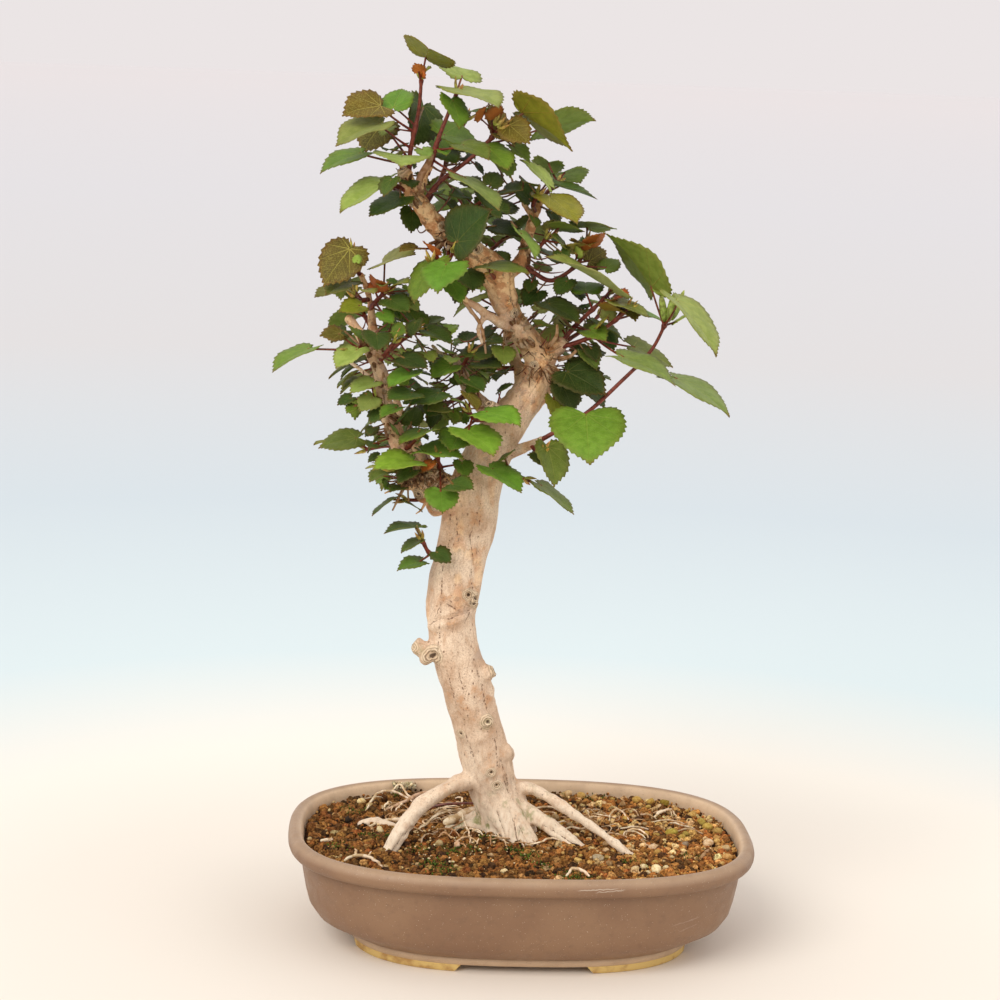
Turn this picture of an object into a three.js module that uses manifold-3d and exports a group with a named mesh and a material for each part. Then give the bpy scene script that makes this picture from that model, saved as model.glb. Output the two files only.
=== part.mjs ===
// Sea hibiscus bonsai in an oval stoneware pot.
// Millimetres, +Z up. X runs along the pot, -Y is the front. The part stands on z = 0.

import * as THREE from "three";
import { mergeVertices } from "three/addons/utils/BufferGeometryUtils.js";
import Module from "manifold-3d";

const wasm = await Module();
wasm.setup();

// Driving dimensions of the pot
const POT_LENGTH = 270;
const POT_DEPTH = 206;
const POT_HEIGHT = 62;
const POT_POWER = 2.78;
const POT_SIDES = 32;
const FOOT_HEIGHT = 4;
const BAND_TOP = 9;
const FLOOR_TOP = 15;
const FOOT_INSET = 25;
const FOOT_WIDTH = 15;
const FOOT_GAP_X = 74;
const FOOT_GAP_Y = 72;
const END_TUCK = 11;
const TUCK_TOP = 20;
const TUCK_FOOT = 9;
const DRAIN_RADIUS = 8;
const DRAIN_SPACING = 56;

// The canopy reaches further left than the pot, so the pot stands right of the middle
const POT_OFFSET = 7;

// Clearances and small sizes
const GAP = 0.35;
const SCREEN_SIZE = 30;
const SCREEN_THICK = 1;
const SCREEN_GAPS = 3;
const SCREEN_BAR = 2.4;
const WIRE_RADIUS = 0.8;
const BLADE_THICK = 0.7;
const SOIL_DROP = 6.4;
const MOUND_RISE = 5;
const MOUND_SPREAD = 2200;
const FRONT_RISE = 1.6;
const SOIL_GRAIN = 2.6;
const STEM_ROOT = 1.5;
const STEM_TIP = 0.9;
const STALK_ROOT = 0.8;
const STALK_TIP = 0.3;

// Colours of the pieces
const COLOURS = {
  clay: [0x8d7767, 0.75],
  soil: [0x7a4a24, 0.95],
  bark: [0xcdb094, 0.8],
  mesh: [0x1b1b1b, 0.6],
  wire: [0x4a2019, 0.45],
  leaf: [0x4f7d2a, 0.55],
};

const SOIL_SEED = 20260;
const LEAF_SEED = 4711;

// Seeded draws between 0 and 1
function drawsFrom(seed) {
  let state = seed;
  return () => {
    state = (state * 16807) % 2147483647;
    return state / 2147483647;
  };
}
const soilDraw = drawsFrom(SOIL_SEED);
const leafDraw = drawsFrom(LEAF_SEED);

// Solids and meshes
function solidOf(geometry) {
  geometry.deleteAttribute("normal");
  geometry.deleteAttribute("uv");
  const merged = mergeVertices(geometry, 1e-4);
  const vertProperties = new Float32Array(merged.attributes.position.array);
  const triVerts = new Uint32Array(merged.index.array);
  return new wasm.Manifold(new wasm.Mesh({ numProp: 3, vertProperties, triVerts }));
}

function geometryOf(solid) {
  const mesh = solid.getMesh();
  const geometry = new THREE.BufferGeometry();
  geometry.setAttribute("position", new THREE.BufferAttribute(mesh.vertProperties, 3));
  geometry.setIndex(new THREE.BufferAttribute(mesh.triVerts, 1));
  return geometry;
}

function fuse(solids) {
  return solids.reduce((whole, solid) => whole.add(solid));
}

function largestBody(solid) {
  const bodies = solid.decompose();
  return bodies.reduce((best, body) => (body.volume() > best.volume() ? body : best));
}

function polyhedron(points, faces) {
  const geometry = new THREE.BufferGeometry();
  const flat = points.flatMap((p) => [p.x, p.y, p.z]);
  geometry.setAttribute("position", new THREE.Float32BufferAttribute(flat, 3));
  geometry.setIndex(faces);
  return geometry;
}

// A three-sided stalk with flat ends
function prism(rings) {
  const faces = [0, 2, 1];
  for (let r = 0; r < rings.length - 1; r += 1) {
    for (let i = 0; i < 3; i += 1) {
      const a = 3 * r + i;
      const b = 3 * r + ((i + 1) % 3);
      faces.push(a, b, b + 3, a, b + 3, a + 3);
    }
  }
  const top = 3 * (rings.length - 1);
  faces.push(top, top + 1, top + 2);
  return polyhedron(rings.flat(), faces);
}

// A closed skin over rings of equal size, with a point at the middle of each end
function loft(rings, firstCentre, lastCentre) {
  const count = rings[0].length;
  const points = [firstCentre, ...rings.flat(), lastCentre];
  const last = points.length - 1;
  const faces = [];
  for (let i = 0; i < count; i += 1) {
    const next = (i + 1) % count;
    faces.push(0, 1 + next, 1 + i);
    for (let r = 0; r < rings.length - 1; r += 1) {
      const low = 1 + r * count;
      const high = low + count;
      faces.push(low + i, low + next, high + next);
      faces.push(low + i, high + next, high + i);
    }
    const top = 1 + (rings.length - 1) * count;
    faces.push(top + i, top + next, last);
  }
  return polyhedron(points, faces);
}

// A point and radius on a smooth path through [x, y, z, radius] stations
function onPath(path, t) {
  const spans = path.length - 1;
  const k = Math.min(Math.floor(t * spans), spans - 1);
  const f = t * spans - k;
  const p0 = path[Math.max(k - 1, 0)];
  const p1 = path[k];
  const p2 = path[k + 1];
  const p3 = path[Math.min(k + 2, spans)];
  return p1.map((value, i) => {
    const a = 2 * value;
    const b = (p2[i] - p0[i]) * f;
    const c = (2 * p0[i] - 5 * value + 4 * p2[i] - p3[i]) * f * f;
    const d = (3 * value - p0[i] - 3 * p2[i] + p3[i]) * f * f * f;
    return (a + b + c + d) / 2;
  });
}

// A tapered tube along a path, with a lumpy section
function limb(path, sides, steps, lump, inflate) {
  const centres = [];
  const radii = [];
  for (let i = 0; i <= steps; i += 1) {
    const [x, y, z, r] = onPath(path, i / steps);
    centres.push(new THREE.Vector3(x, y, z));
    radii.push(r);
  }
  const along = centres.map((c, i) => {
    const ahead = centres[Math.min(i + 1, steps)];
    const behind = centres[Math.max(i - 1, 0)];
    return ahead.clone().sub(behind).normalize();
  });
  let side = new THREE.Vector3(1, 0, 0).cross(along[0]);
  if (side.length() < 0.2) {
    side = new THREE.Vector3(0, 1, 0).cross(along[0]);
  }
  const rings = centres.map((c, i) => {
    side = side.clone().addScaledVector(along[i], -side.dot(along[i])).normalize();
    const other = along[i].clone().cross(side);
    const ring = [];
    for (let k = 0; k < sides; k += 1) {
      const a = (2 * Math.PI * k) / sides;
      const swell = 1 + lump * Math.sin(3 * a + 0.35 * i) + lump * Math.sin(2 * a - 0.6 * i);
      const r = radii[i] * swell + inflate;
      const out = side.clone().multiplyScalar(Math.cos(a)).addScaledVector(other, Math.sin(a));
      ring.push(c.clone().addScaledVector(out, r));
    }
    return ring;
  });
  if (sides === 3) {
    return prism(rings);
  }
  const start = centres[0].clone().addScaledVector(along[0], -0.3 * radii[0] - inflate);
  const end = centres[steps].clone().addScaledVector(along[steps], 0.3 * radii[steps] + inflate);
  return loft(rings, start, end);
}

function knob(x, y, z, r, inflate) {
  const ball = new THREE.IcosahedronGeometry(r + inflate, r > 6 ? 1 : 0);
  ball.translate(x, y, z);
  return ball;
}

// Wood: every path is a list of [x, y, z, radius]
const TRUNK = [
  [-5, 1, 40, 17], [-6, 0, 56, 17], [-10, -1, 70, 14.8], [-16, -1, 84, 13.8],
  [-22, -2, 104, 14.4], [-28, -3, 124, 13.8], [-34, -5, 144, 14.2], [-41, -6, 164, 14.2],
  [-45, -5, 184, 14.6], [-44, -3, 203, 15.2], [-40, 0, 222, 15.2], [-37, 3, 240, 15.6],
  [-34, 5, 259, 14.6], [-28, 6, 276, 13.6], [-17, 8, 297, 11.8], [-7, 9, 310, 10.2],
  [0, 10, 322, 10.2], [2, 10, 334, 9.6], [-5, 8, 345, 7.4], [-16, 5, 359, 7],
  [-21, 2, 371, 8.2], [-26, 0, 384, 9.2], [-41, -3, 395, 7.8], [-55, -5, 406, 6.8],
  [-67, -6, 418, 5.8], [-76, -7, 430, 5], [-80, -7, 438, 4.4],
];

const LIMBS = {
  left_limb: [
    [-38, 4, 252, 10], [-53, -3, 262, 9.2], [-67, -8, 268, 7.6], [-76, -10, 284, 5.8],
    [-82, -10, 298, 5.1], [-87, -10, 312, 4.8], [-89, -10, 326, 4.5], [-95, -10, 339, 3.9],
    [-102, -10, 350, 3.2], [-108, -10, 358, 2.6],
  ],
  left_twig: [
    [-87, -9, 320, 3.8], [-91, 3, 336, 3.1], [-94, 9, 351, 2.7], [-96, 10, 364, 2.4],
    [-99, 8, 375, 1.9], [-102, 6, 381, 1.6],
  ],
  left_knob: [[-48, -6, 168, 8], [-57, -11, 168, 6.4], [-65, -11, 171, 4.2]],
  cut_limb: [[-16, 6, 299, 6.4], [-23, -6, 305, 5.2], [-29, -14, 310, 4.4]],
  back_stub: [[-19, 8, 300, 5.6], [-33, 13, 310, 4.6], [-42, 14, 323, 4], [-49, 14, 335, 3.6]],
  spur: [[-12, 6, 350, 4], [-24, -3, 357, 3.2], [-33, -8, 363, 2.6], [-46, -10, 372, 1.8]],
  spur_prong: [[-31, -7, 361, 2], [-35, -9, 353, 1.4], [-32, -9, 345, 1]],
  right_leader: [
    [-25, 1, 382, 6.8], [-13, 8, 388, 4.4], [-9, 12, 399, 3.6], [-6, 14, 411, 3],
    [-3, 14, 420, 2.6], [0, 14, 426, 2],
  ],
  leader_prong: [[-5, 14, 414, 1.9], [-11, 13, 423, 1.6], [-14, 11, 430, 1.2]],
  right_limb: [[1, 10, 332, 8], [9, 7, 340, 5.6], [15, 3, 347, 3.8]],
  low_right: [[-22, 6, 279, 4.6], [-8, -2, 285, 3.4], [4, -8, 292, 2]],
  crown_twig: [[-74, -6, 424, 3], [-69, -8, 433, 2.3], [-64, -9, 443, 1.7]],
  back_limb: [[-6, 10, 314, 6.4], [-8, 26, 324, 4.6], [-14, 42, 336, 3.4], [-16, 56, 350, 2.2]],
  back_high: [[-24, 2, 376, 6], [-30, 18, 384, 4], [-38, 34, 394, 2.8], [-40, 48, 404, 1.8]],
  back_left: [[-52, -2, 262, 6.6], [-62, 14, 274, 4.4], [-74, 30, 292, 3], [-80, 42, 308, 2]],
};

const ROOTS = {
  root_left: [
    [-20, 0, 93, 6.2], [-31, -6, 91, 5.4], [-40, -10, 89, 4.9], [-48, -14, 85, 4.8],
    [-57, -18, 80, 4.7], [-65, -23, 72, 4.4], [-71, -28, 64, 4.1], [-77, -33, 55, 3.7],
    [-80, -36, 49, 3.2],
  ],
  root_right: [
    [-12, 0, 87, 4.8], [-1, -2, 86, 4], [10, -5, 84, 3.5], [24, -12, 77, 3],
    [42, -20, 67, 2.6], [60, -30, 56, 2.3], [66, -33, 51, 2.1],
  ],
  root_front: [[-12, -6, 78, 9.8], [-6, -13, 68, 9], [0, -18, 59, 8], [6, -23, 49, 6.6]],
  root_front_right: [
    [-4, -4, 76, 6], [10, -9, 69, 4.6], [24, -15, 61, 4], [36, -21, 54, 3.4],
    [42, -25, 49, 3],
  ],
  root_back_left: [
    [-14, 4, 72, 5], [-24, 9, 65, 4], [-32, 15, 59, 3.4], [-40, 21, 53, 3], [-46, 25, 49, 2.8],
  ],
  root_far_left: [
    [-14, -2, 66, 6], [-34, 4, 58, 4.6], [-56, 11, 53, 3.8], [-76, 15, 55, 3.6],
    [-86, 17, 57, 3.4], [-94, 17, 54, 2.4],
  ],
  root_back: [[-4, 6, 68, 7.4], [4, 18, 58, 5.2], [12, 30, 54, 4.4], [20, 40, 48, 4]],
  root_back_mid: [[-12, 6, 68, 7], [-18, 20, 58, 5], [-26, 34, 53, 4.2], [-32, 44, 48, 3.6]],
};

// Healed cuts and burrs on the wood: [x, y, z, radius]
const KNOBS = [
  [-58, -16, 165, 5], [-25, -8, 155, 5.6], [-22, -15, 129, 3.4],
  [-59, -11, 267, 8.2], [-79, -7, 437, 5.4], [5, 7, 335, 6.5], [-34, -12, 198, 3.8],
  [-12, -6, 107, 6.2], [-63, -7, 259, 6.8], [-55, -6, 251, 6.6], [-72, -9, 267, 6.6],
];

function wood(inflate) {
  const solids = [solidOf(limb(TRUNK, 9, TRUNK.length - 1, 0.035, inflate))];
  for (const path of Object.values(LIMBS)) {
    solids.push(solidOf(limb(path, 6, path.length - 1, 0.05, inflate)));
  }
  for (const path of Object.values(ROOTS)) {
    solids.push(solidOf(limb(path, 5, path.length - 1, 0.06, inflate)));
  }
  for (const [x, y, z, r] of KNOBS) {
    solids.push(solidOf(knob(x, y, z, r, inflate)));
  }
  return fuse(solids);
}

// Pot: outlines are superellipses, inset from the rim, and the ends draw in towards the foot
function outline(inset, z) {
  const low = Math.min(1, Math.max(0, (TUCK_TOP - z) / (TUCK_TOP - TUCK_FOOT)));
  const a = POT_LENGTH / 2 - inset - END_TUCK * low;
  const b = POT_DEPTH / 2 - inset;
  const ring = [];
  for (let k = 0; k < POT_SIDES; k += 1) {
    const angle = (2 * Math.PI * k) / POT_SIDES;
    const c = Math.cos(angle);
    const s = Math.sin(angle);
    const x = a * Math.sign(c) * Math.abs(c) ** (2 / POT_POWER);
    const y = b * Math.sign(s) * Math.abs(s) ** (2 / POT_POWER);
    ring.push(new THREE.Vector3(x, y, z));
  }
  return ring;
}

// [inset, height] up the outside, over the lip and down the inside to the floor
const POT_OUTSIDE = [
  [29, BAND_TOP - 1.5], [20, 10.5], [14.4, 17], [10.4, 30], [7.6, 46], [7.4, 51],
  [1.4, 52.5], [0, 56], [1, 60.4], [4, 62],
];
const POT_INSIDE = [[8.4, 60], [10.4, 46], [14.5, 25], [22, 16.4], [30, FLOOR_TOP]];

function makePot() {
  const rings = [...POT_OUTSIDE, ...POT_INSIDE].map(([inset, z]) => outline(inset, z));
  const underside = new THREE.Vector3(0, 0, BAND_TOP - 1.5);
  const floor = new THREE.Vector3(0, 0, FLOOR_TOP);
  let pot = solidOf(loft(rings, underside, floor));

  const bandRings = [outline(FOOT_INSET, 0), outline(FOOT_INSET - 1, BAND_TOP)];
  const band = solidOf(loft(bandRings, new THREE.Vector3(), new THREE.Vector3(0, 0, BAND_TOP)));
  const hollowInset = FOOT_INSET + FOOT_WIDTH;
  const hollowRings = [outline(hollowInset, -1), outline(hollowInset, BAND_TOP - 1.5)];
  const hollowTop = new THREE.Vector3(0, 0, BAND_TOP - 1.5);
  const hollow = solidOf(loft(hollowRings, new THREE.Vector3(0, 0, -1), hollowTop));
  pot = pot.add(band.subtract(hollow));

  for (const turned of [false, true]) {
    const half = (turned ? FOOT_GAP_Y : FOOT_GAP_X) / 2;
    const arch = new THREE.Shape();
    arch.moveTo(-half - 2, -1);
    arch.lineTo(half + 2, -1);
    arch.lineTo(half - 2, FOOT_HEIGHT);
    arch.lineTo(2 - half, FOOT_HEIGHT);
    const notch = new THREE.ExtrudeGeometry(arch, { depth: POT_LENGTH, bevelEnabled: false });
    notch.translate(0, 0, -POT_LENGTH / 2);
    notch.rotateX(Math.PI / 2);
    if (turned) {
      notch.rotateZ(Math.PI / 2);
    }
    pot = pot.subtract(solidOf(notch));
  }

  for (const x of [-DRAIN_SPACING, DRAIN_SPACING]) {
    const hole = new THREE.CylinderGeometry(DRAIN_RADIUS, DRAIN_RADIUS, 30, 16);
    hole.rotateX(Math.PI / 2);
    hole.translate(x, 0, 10);
    pot = pot.subtract(solidOf(hole));
  }
  return pot;
}

// A square of plastic mesh over a drain hole, or the room that it needs in the soil
function makeScreen(x, grow) {
  const size = SCREEN_SIZE + 2 * grow;
  const thick = SCREEN_THICK + 2 * grow;
  const middle = FLOOR_TOP + GAP + SCREEN_THICK / 2;
  if (grow > 0) {
    const room = new THREE.BoxGeometry(size, size, thick);
    room.translate(x, 0, middle);
    return solidOf(room);
  }
  const plate = new THREE.BoxGeometry(size, size, thick);
  plate.translate(x, 0, middle);
  let screen = solidOf(plate);
  const pitch = (size - SCREEN_BAR) / SCREEN_GAPS;
  for (let i = 0; i < SCREEN_GAPS * SCREEN_GAPS; i += 1) {
    const column = (i % SCREEN_GAPS) - (SCREEN_GAPS - 1) / 2;
    const row = Math.floor(i / SCREEN_GAPS) - (SCREEN_GAPS - 1) / 2;
    const hole = new THREE.BoxGeometry(pitch - SCREEN_BAR, pitch - SCREEN_BAR, 3 * thick);
    hole.translate(x + column * pitch, row * pitch, middle);
    screen = screen.subtract(solidOf(hole));
  }
  return screen;
}

// Wire that ties the root ball down: it rises from the soil behind the trunk
const TIE_WIRE = [
  [-66, 26, 48, WIRE_RADIUS], [-58, 24, 60, WIRE_RADIUS], [-48, 21, 67, WIRE_RADIUS],
  [-30, 20, 69, WIRE_RADIUS], [-10, 21, 68.5, WIRE_RADIUS], [8, 23, 66, WIRE_RADIUS],
  [16, 26, 58, WIRE_RADIUS], [20, 28, 46, WIRE_RADIUS],
];

function makeWire(inflate) {
  return solidOf(limb(TIE_WIRE, 5, 16, 0, inflate));
}

// Soil: a grainy top that rises a little to the trunk and to the front rim
function soilHeight(x, y, share) {
  const mound = MOUND_RISE * Math.exp(-((x + 8) ** 2 + y ** 2) / MOUND_SPREAD);
  const front = FRONT_RISE * Math.max(0, -y / 90) * share;
  const grain = (soilDraw() - 0.5) * SOIL_GRAIN;
  return POT_HEIGHT - SOIL_DROP + mound + front + grain;
}

function makeSoil(woodSolid, screens, wire) {
  const rings = [[31, FLOOR_TOP], [23, 16.8], [15.2, 25.4], [11, 46]].map(
    ([inset, z]) => outline(inset + GAP, z + GAP),
  );
  const rim = outline(9.2 + GAP, POT_HEIGHT);
  for (const share of [1, 0.84, 0.62, 0.34]) {
    const ring = rim.map((p) => {
      const x = p.x * share;
      const y = p.y * share;
      return new THREE.Vector3(x, y, soilHeight(x, y, share));
    });
    rings.push(ring);
  }
  const bottom = new THREE.Vector3(0, 0, FLOOR_TOP + GAP);
  const middle = new THREE.Vector3(0, 0, soilHeight(0, 0, 0));
  let soil = solidOf(loft(rings, bottom, middle));
  soil = soil.subtract(woodSolid).subtract(wire);
  for (const screen of screens) {
    soil = soil.subtract(screen);
  }
  return largestBody(soil);
}

// Leaf blade: half outline as [along, across] in blade lengths, from the notch to the tip
const HALF_LEAF = [
  [0, 0], [-0.13, 0.1], [-0.18, 0.26], [-0.09, 0.42], [0.12, 0.51], [0.36, 0.49],
  [0.6, 0.37], [0.8, 0.2], [0.92, 0.07], [1, 0],
];

// Frame of a leaf: joint, unit directions along, across and out of the blade, length, shape
function leafFrame(row, fold, arch) {
  const [jx, jy, jz, tx, ty, tz, roll] = row;
  const joint = new THREE.Vector3(jx, jy, jz);
  const along = new THREE.Vector3(tx - jx, ty - jy, tz - jz);
  const length = along.length();
  along.normalize();
  const level = along.clone().cross(new THREE.Vector3(0, 0, 1)).normalize();
  const up = level.clone().cross(along);
  const turn = (roll * Math.PI) / 180;
  const across = level.clone().multiplyScalar(Math.cos(turn));
  across.addScaledVector(up, Math.sin(turn));
  const out = across.clone().cross(along);
  return { joint, along, across, out, length, fold, arch };
}

function onBlade(leaf, u, v, lift) {
  const rise = (leaf.fold * Math.abs(v) + leaf.arch * u * (1 - u)) * leaf.length + lift;
  const point = leaf.joint.clone().addScaledVector(leaf.along, u * leaf.length);
  point.addScaledVector(leaf.across, v * leaf.length);
  return point.addScaledVector(leaf.out, rise);
}

// Points on one half of the toothed edge
function halfEdge(count) {
  const edge = [];
  for (let i = 1; i <= count; i += 1) {
    const [u, v] = onPath(HALF_LEAF, i / (count + 1));
    const tooth = i % 2 === 1 ? 1.06 : 0.93;
    edge.push([u, v * tooth]);
  }
  return edge;
}

// A thin toothed blade, both faces split alike, folded along its midrib
function blade(leaf) {
  const count = leaf.length >= 30 ? 6 : leaf.length >= 18 ? 4 : 3;
  const ribs = leaf.length >= 30 ? [0.45] : [];
  const half = halfEdge(count);
  const rib = [[0, 0], ...ribs.map((u) => [u, 0]), [1, 0]];
  const right = half.map(([u, v]) => [u, v]);
  const left = half.map(([u, v]) => [u, -v]);
  const flat = [...rib, ...right, ...left];
  const faces = [];
  const strip = (first, flip) => {
    let k = 0;
    let a = 0;
    const push = (p, q, r) => faces.push(...(flip ? [p, r, q] : [p, q, r]));
    while (k < count - 1 || a < rib.length - 1) {
      const edgeNow = first + k;
      const midNow = (flat[edgeNow][0] + flat[Math.min(edgeNow + 1, first + count - 1)][0]) / 2;
      const ribNext = a < rib.length - 1 ? (rib[a][0] + rib[a + 1][0]) / 2 : 2;
      if (a < rib.length - 1 && (k === count - 1 || ribNext < midNow)) {
        push(a, a + 1, edgeNow);
        a += 1;
      } else {
        push(a, edgeNow + 1, edgeNow);
        k += 1;
      }
    }
  };
  strip(rib.length, true);
  strip(rib.length + count, false);
  const points = [];
  for (const lift of [BLADE_THICK / 2, -BLADE_THICK / 2]) {
    points.push(...flat.map(([u, v]) => onBlade(leaf, u, v, lift)));
  }
  const under = flat.length;
  const all = [...faces];
  for (let i = 0; i < faces.length; i += 3) {
    all.push(under + faces[i], under + faces[i + 2], under + faces[i + 1]);
  }
  const tip = rib.length - 1;
  const rightLoop = right.map((_, i) => rib.length + i);
  const leftLoop = left.map((_, i) => rib.length + count + i).reverse();
  const loop = [0, ...rightLoop, tip, ...leftLoop];
  for (let i = 0; i < loop.length; i += 1) {
    const a = loop[i];
    const b = loop[(i + 1) % loop.length];
    all.push(a, under + a, under + b);
    all.push(a, under + b, b);
  }
  return polyhedron(points, all);
}

// Leafy shoots. A stem is a list of [x, y, z]. A leaf is [joint x, y, z, tip x, y, z, roll].
const SHOOTS = [
  {
    name: "shoot_crown_left",
    stem: [[-76, -6, 436], [-76, -8, 450], [-72, -8, 473], [-71, -7, 490]],
    leaves: [
      [-69, -6, 502, -68, -35, 508, 28],
      [-86, -14, 474, -81, 2, 485, 10],
      [-93, -10, 475, -114, -22, 471, 31],
      [-91, 4, 465, -103, -6, 449, 26],
      [-93, -22, 466, -118, -31, 455, 14],
      [-103, -10, 449, -126, -20, 439, 6],
      [-80, -26, 449, -81, -55, 446, 3],
      [-69, 6, 475, -73, -8, 453, 60],
    ],
  },
  {
    name: "shoot_crown_mid",
    stem: [[-66, -8, 438], [-61, -10, 457], [-56, -9, 471], [-51, -8, 484]],
    leaves: [
      [-50, -8, 486, -28, -33, 479, 0],
      [-48, 6, 492, -53, 28, 499, -12],
      [-54, -20, 486, -49, -31, 471, 20],
      [-58, -2, 460, -35, 11, 456, -27],
      [-48, -20, 453, -33, -32, 447, -11],
      [-46, -24, 438, -26, -42, 423, 11],
      [-60, 2, 451, -50, -11, 445, -8],
    ],
  },
  {
    name: "shoot_crown_right",
    stem: [[-68, -6, 422], [-60, -3, 433], [-43, -4, 447], [-33, -6, 457], [-28, -6, 464]],
    leaves: [
      [-15, -8, 474, 14, -25, 455, 37],
      [-1, 10, 465, 29, 21, 471, 32],
      [-34, -14, 455, -22, -31, 444, -3],
      [-22, -2, 467, -11, -11, 458, -45],
    ],
  },
  {
    name: "shoot_crown_back",
    stem: [[-67, -4, 420], [-58, 16, 435], [-52, 30, 450], [-44, 40, 467]],
    leaves: [
      [-42, 44, 472, -28, 64, 471, 10],
      [-52, 40, 456, -40, 58, 445, -30],
      [-55, 26, 449, -63, 38, 460, -1],
    ],
  },
  {
    name: "shoot_crown_low",
    stem: [[-77, -6, 428], [-82, -14, 431], [-86, -18, 432]],
    leaves: [
      [-90, -22, 433, -114, -35, 418, 1],
      [-80, -16, 426, -98, -25, 416, 10],
    ],
  },
  {
    name: "shoot_leader_front",
    stem: [[-53, -6, 401], [-53, -16, 392], [-51, -24, 397]],
    leaves: [
      [-49, -27, 403, -32, -40, 423, -74],
    ],
  },
  {
    name: "shoot_leader_top",
    stem: [[-51, -4, 404], [-42, -6, 417], [-33, -4, 427]],
    leaves: [
      [-25, -2, 417, -40, 3, 430, 16],
      [-33, 4, 421, -13, 14, 421, -25],
      [-27, -4, 407, -11, -11, 402, -20],
    ],
  },
  {
    name: "shoot_leader_under",
    stem: [[-58, -6, 404], [-60, -14, 396], [-59, -20, 391]],
    leaves: [
      [-61, -24, 391, -73, -36, 370, -12],
      [-55, -32, 386, -60, -52, 373, -6],
      [-43, -24, 387, -40, -39, 377, 11],
      [-52, -14, 381, -45, -21, 368, -3],
    ],
  },
  {
    name: "shoot_leader_side",
    stem: [[-26, -6, 381], [-30, -18, 386]],
    leaves: [
      [-32, -24, 390, -9, -35, 388, -5],
    ],
  },
  {
    name: "shoot_top_right",
    stem: [[-4, 14, 418], [-6, 6, 422], [-4, 2, 428]],
    leaves: [
      [2, 12, 428, -14, 13, 442, 12],
      [3, 4, 428, 18, -17, 415, 2],
      [-8, 8, 425, -18, 15, 436, 15],
    ],
  },
  {
    name: "shoot_right_high",
    stem: [[-8, 12, 400], [-3, 10, 397], [2, 8, 403]],
    leaves: [
      [8, 4, 410, 23, -6, 410, 21],
      [-14, -6, 408, -4, -17, 395, 22],
      [4, 20, 393, 18, 30, 389, -22],
    ],
  },
  {
    name: "shoot_right_fork",
    stem: [[-11, 9, 389], [4, 9, 380], [14, 8, 384], [22, 8, 392], [25, 7, 401]],
    leaves: [
      [25, 6, 410, 37, -15, 413, 12],
    ],
  },
  {
    name: "shoot_right_long",
    stem: [[10, 6, 341], [20, 2, 355], [32, -2, 368], [38, -5, 375]],
    leaves: [
      [39, -12, 378, 1, -20, 399, 4],
      [41, -16, 378, 60, -24, 371, -3],
      [25, -12, 378, 26, 6, 383, 0],
      [3, -12, 369, 21, -24, 360, -9],
    ],
  },
  {
    name: "shoot_right_tip",
    stem: [[11, 4, 342], [28, -6, 350], [40, -10, 359], [48, -12, 367]],
    leaves: [
      [56, 0, 365, 70, 12, 360, -19],
      [44, -22, 343, 74, -34, 331, -3],
      [54, 6, 344, 78, 9, 333, -17],
    ],
  },
  {
    name: "shoot_right_out",
    stem: [[1, -6, 290], [7, -9, 294], [27, -10, 307], [45, -12, 325], [62, -13, 344], [70, -13, 361]],
    leaves: [
      [61, -13, 380, 34, -17, 412, -13],
      [73, -21, 375, 96, -39, 348, 11],
      [76, -20, 330, 106, -36, 313, 2],
      [26, -26, 309, 26, -60, 288, -3],
    ],
  },
  {
    name: "shoot_right_inner",
    stem: [[6, 12, 330], [14, 14, 322], [22, 14, 320]],
    leaves: [
      [16, 4, 330, 38, -7, 319, -32],
      [14, 2, 322, 21, -6, 307, -11],
      [28, 16, 321, 41, 13, 308, -20],
      [25, 22, 336, 41, 31, 338, -16],
    ],
  },
  {
    name: "shoot_right_low",
    stem: [[-3, -5, 288], [2, -12, 284], [4, -18, 287]],
    leaves: [
      [6, -14, 289, 11, -23, 268, 12],
    ],
  },
  {
    name: "shoot_trunk_right",
    stem: [[-19, 2, 268], [-13, -6, 271], [-6, -10, 269]],
    leaves: [
      [3, -12, 266, 23, -20, 252, 5],
      [-26, -24, 277, -8, -38, 267, -2],
    ],
  },
  {
    name: "shoot_cut_limb_tuft",
    stem: [[-23, -4, 303], [-34, -12, 302], [-39, -19, 308]],
    leaves: [
      [-30, -26, 309, -11, -43, 305, -10],
      [-40, -28, 299, -25, -49, 289, -1],
      [-43, -26, 299, -57, -41, 291, 4],
    ],
  },
  {
    name: "shoot_burl_front",
    stem: [[-52, -8, 268], [-55, -16, 278], [-56, -23, 283]],
    leaves: [
      [-64, -22, 285, -41, -31, 283, -9],
      [-54, -26, 265, -53, -41, 255, 2],
      [-48, -24, 269, -36, -34, 269, -24],
    ],
  },
  {
    name: "shoot_burl_left",
    stem: [[-66, -8, 268], [-73, -18, 270], [-79, -22, 274]],
    leaves: [
      [-70, -18, 280, -92, -30, 277, 12],
      [-82, -16, 273, -94, -25, 268, 0],
    ],
  },
  {
    name: "shoot_burl_low",
    stem: [[-57, -6, 258], [-65, -8, 255], [-72, -10, 255]],
    leaves: [
      [-79, -12, 256, -92, -18, 247, -16],
    ],
  },
  {
    name: "shoot_low_spray",
    stem: [[-52, -4, 220], [-59, -14, 226], [-63, -18, 234]],
    leaves: [
      [-66, -18, 241, -85, -25, 239, -3],
      [-65, -16, 233, -75, -21, 227, 0],
      [-63, -16, 221, -77, -21, 217, 10],
    ],
  },
  {
    name: "shoot_left_top",
    stem: [[-102, 6, 380], [-106, 4, 387], [-107, 4, 393]],
    leaves: [
      [-108, 0, 395, -123, -9, 375, 31],
      [-104, 10, 387, -114, 20, 395, 13],
    ],
  },
  {
    name: "shoot_left_side",
    stem: [[-97, 9, 366], [-102, 2, 366], [-105, -3, 369]],
    leaves: [
      [-107, -8, 376, -121, -20, 370, 12],
      [-101, -4, 364, -113, -11, 361, 27],
    ],
  },
  {
    name: "shoot_left_mid",
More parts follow.
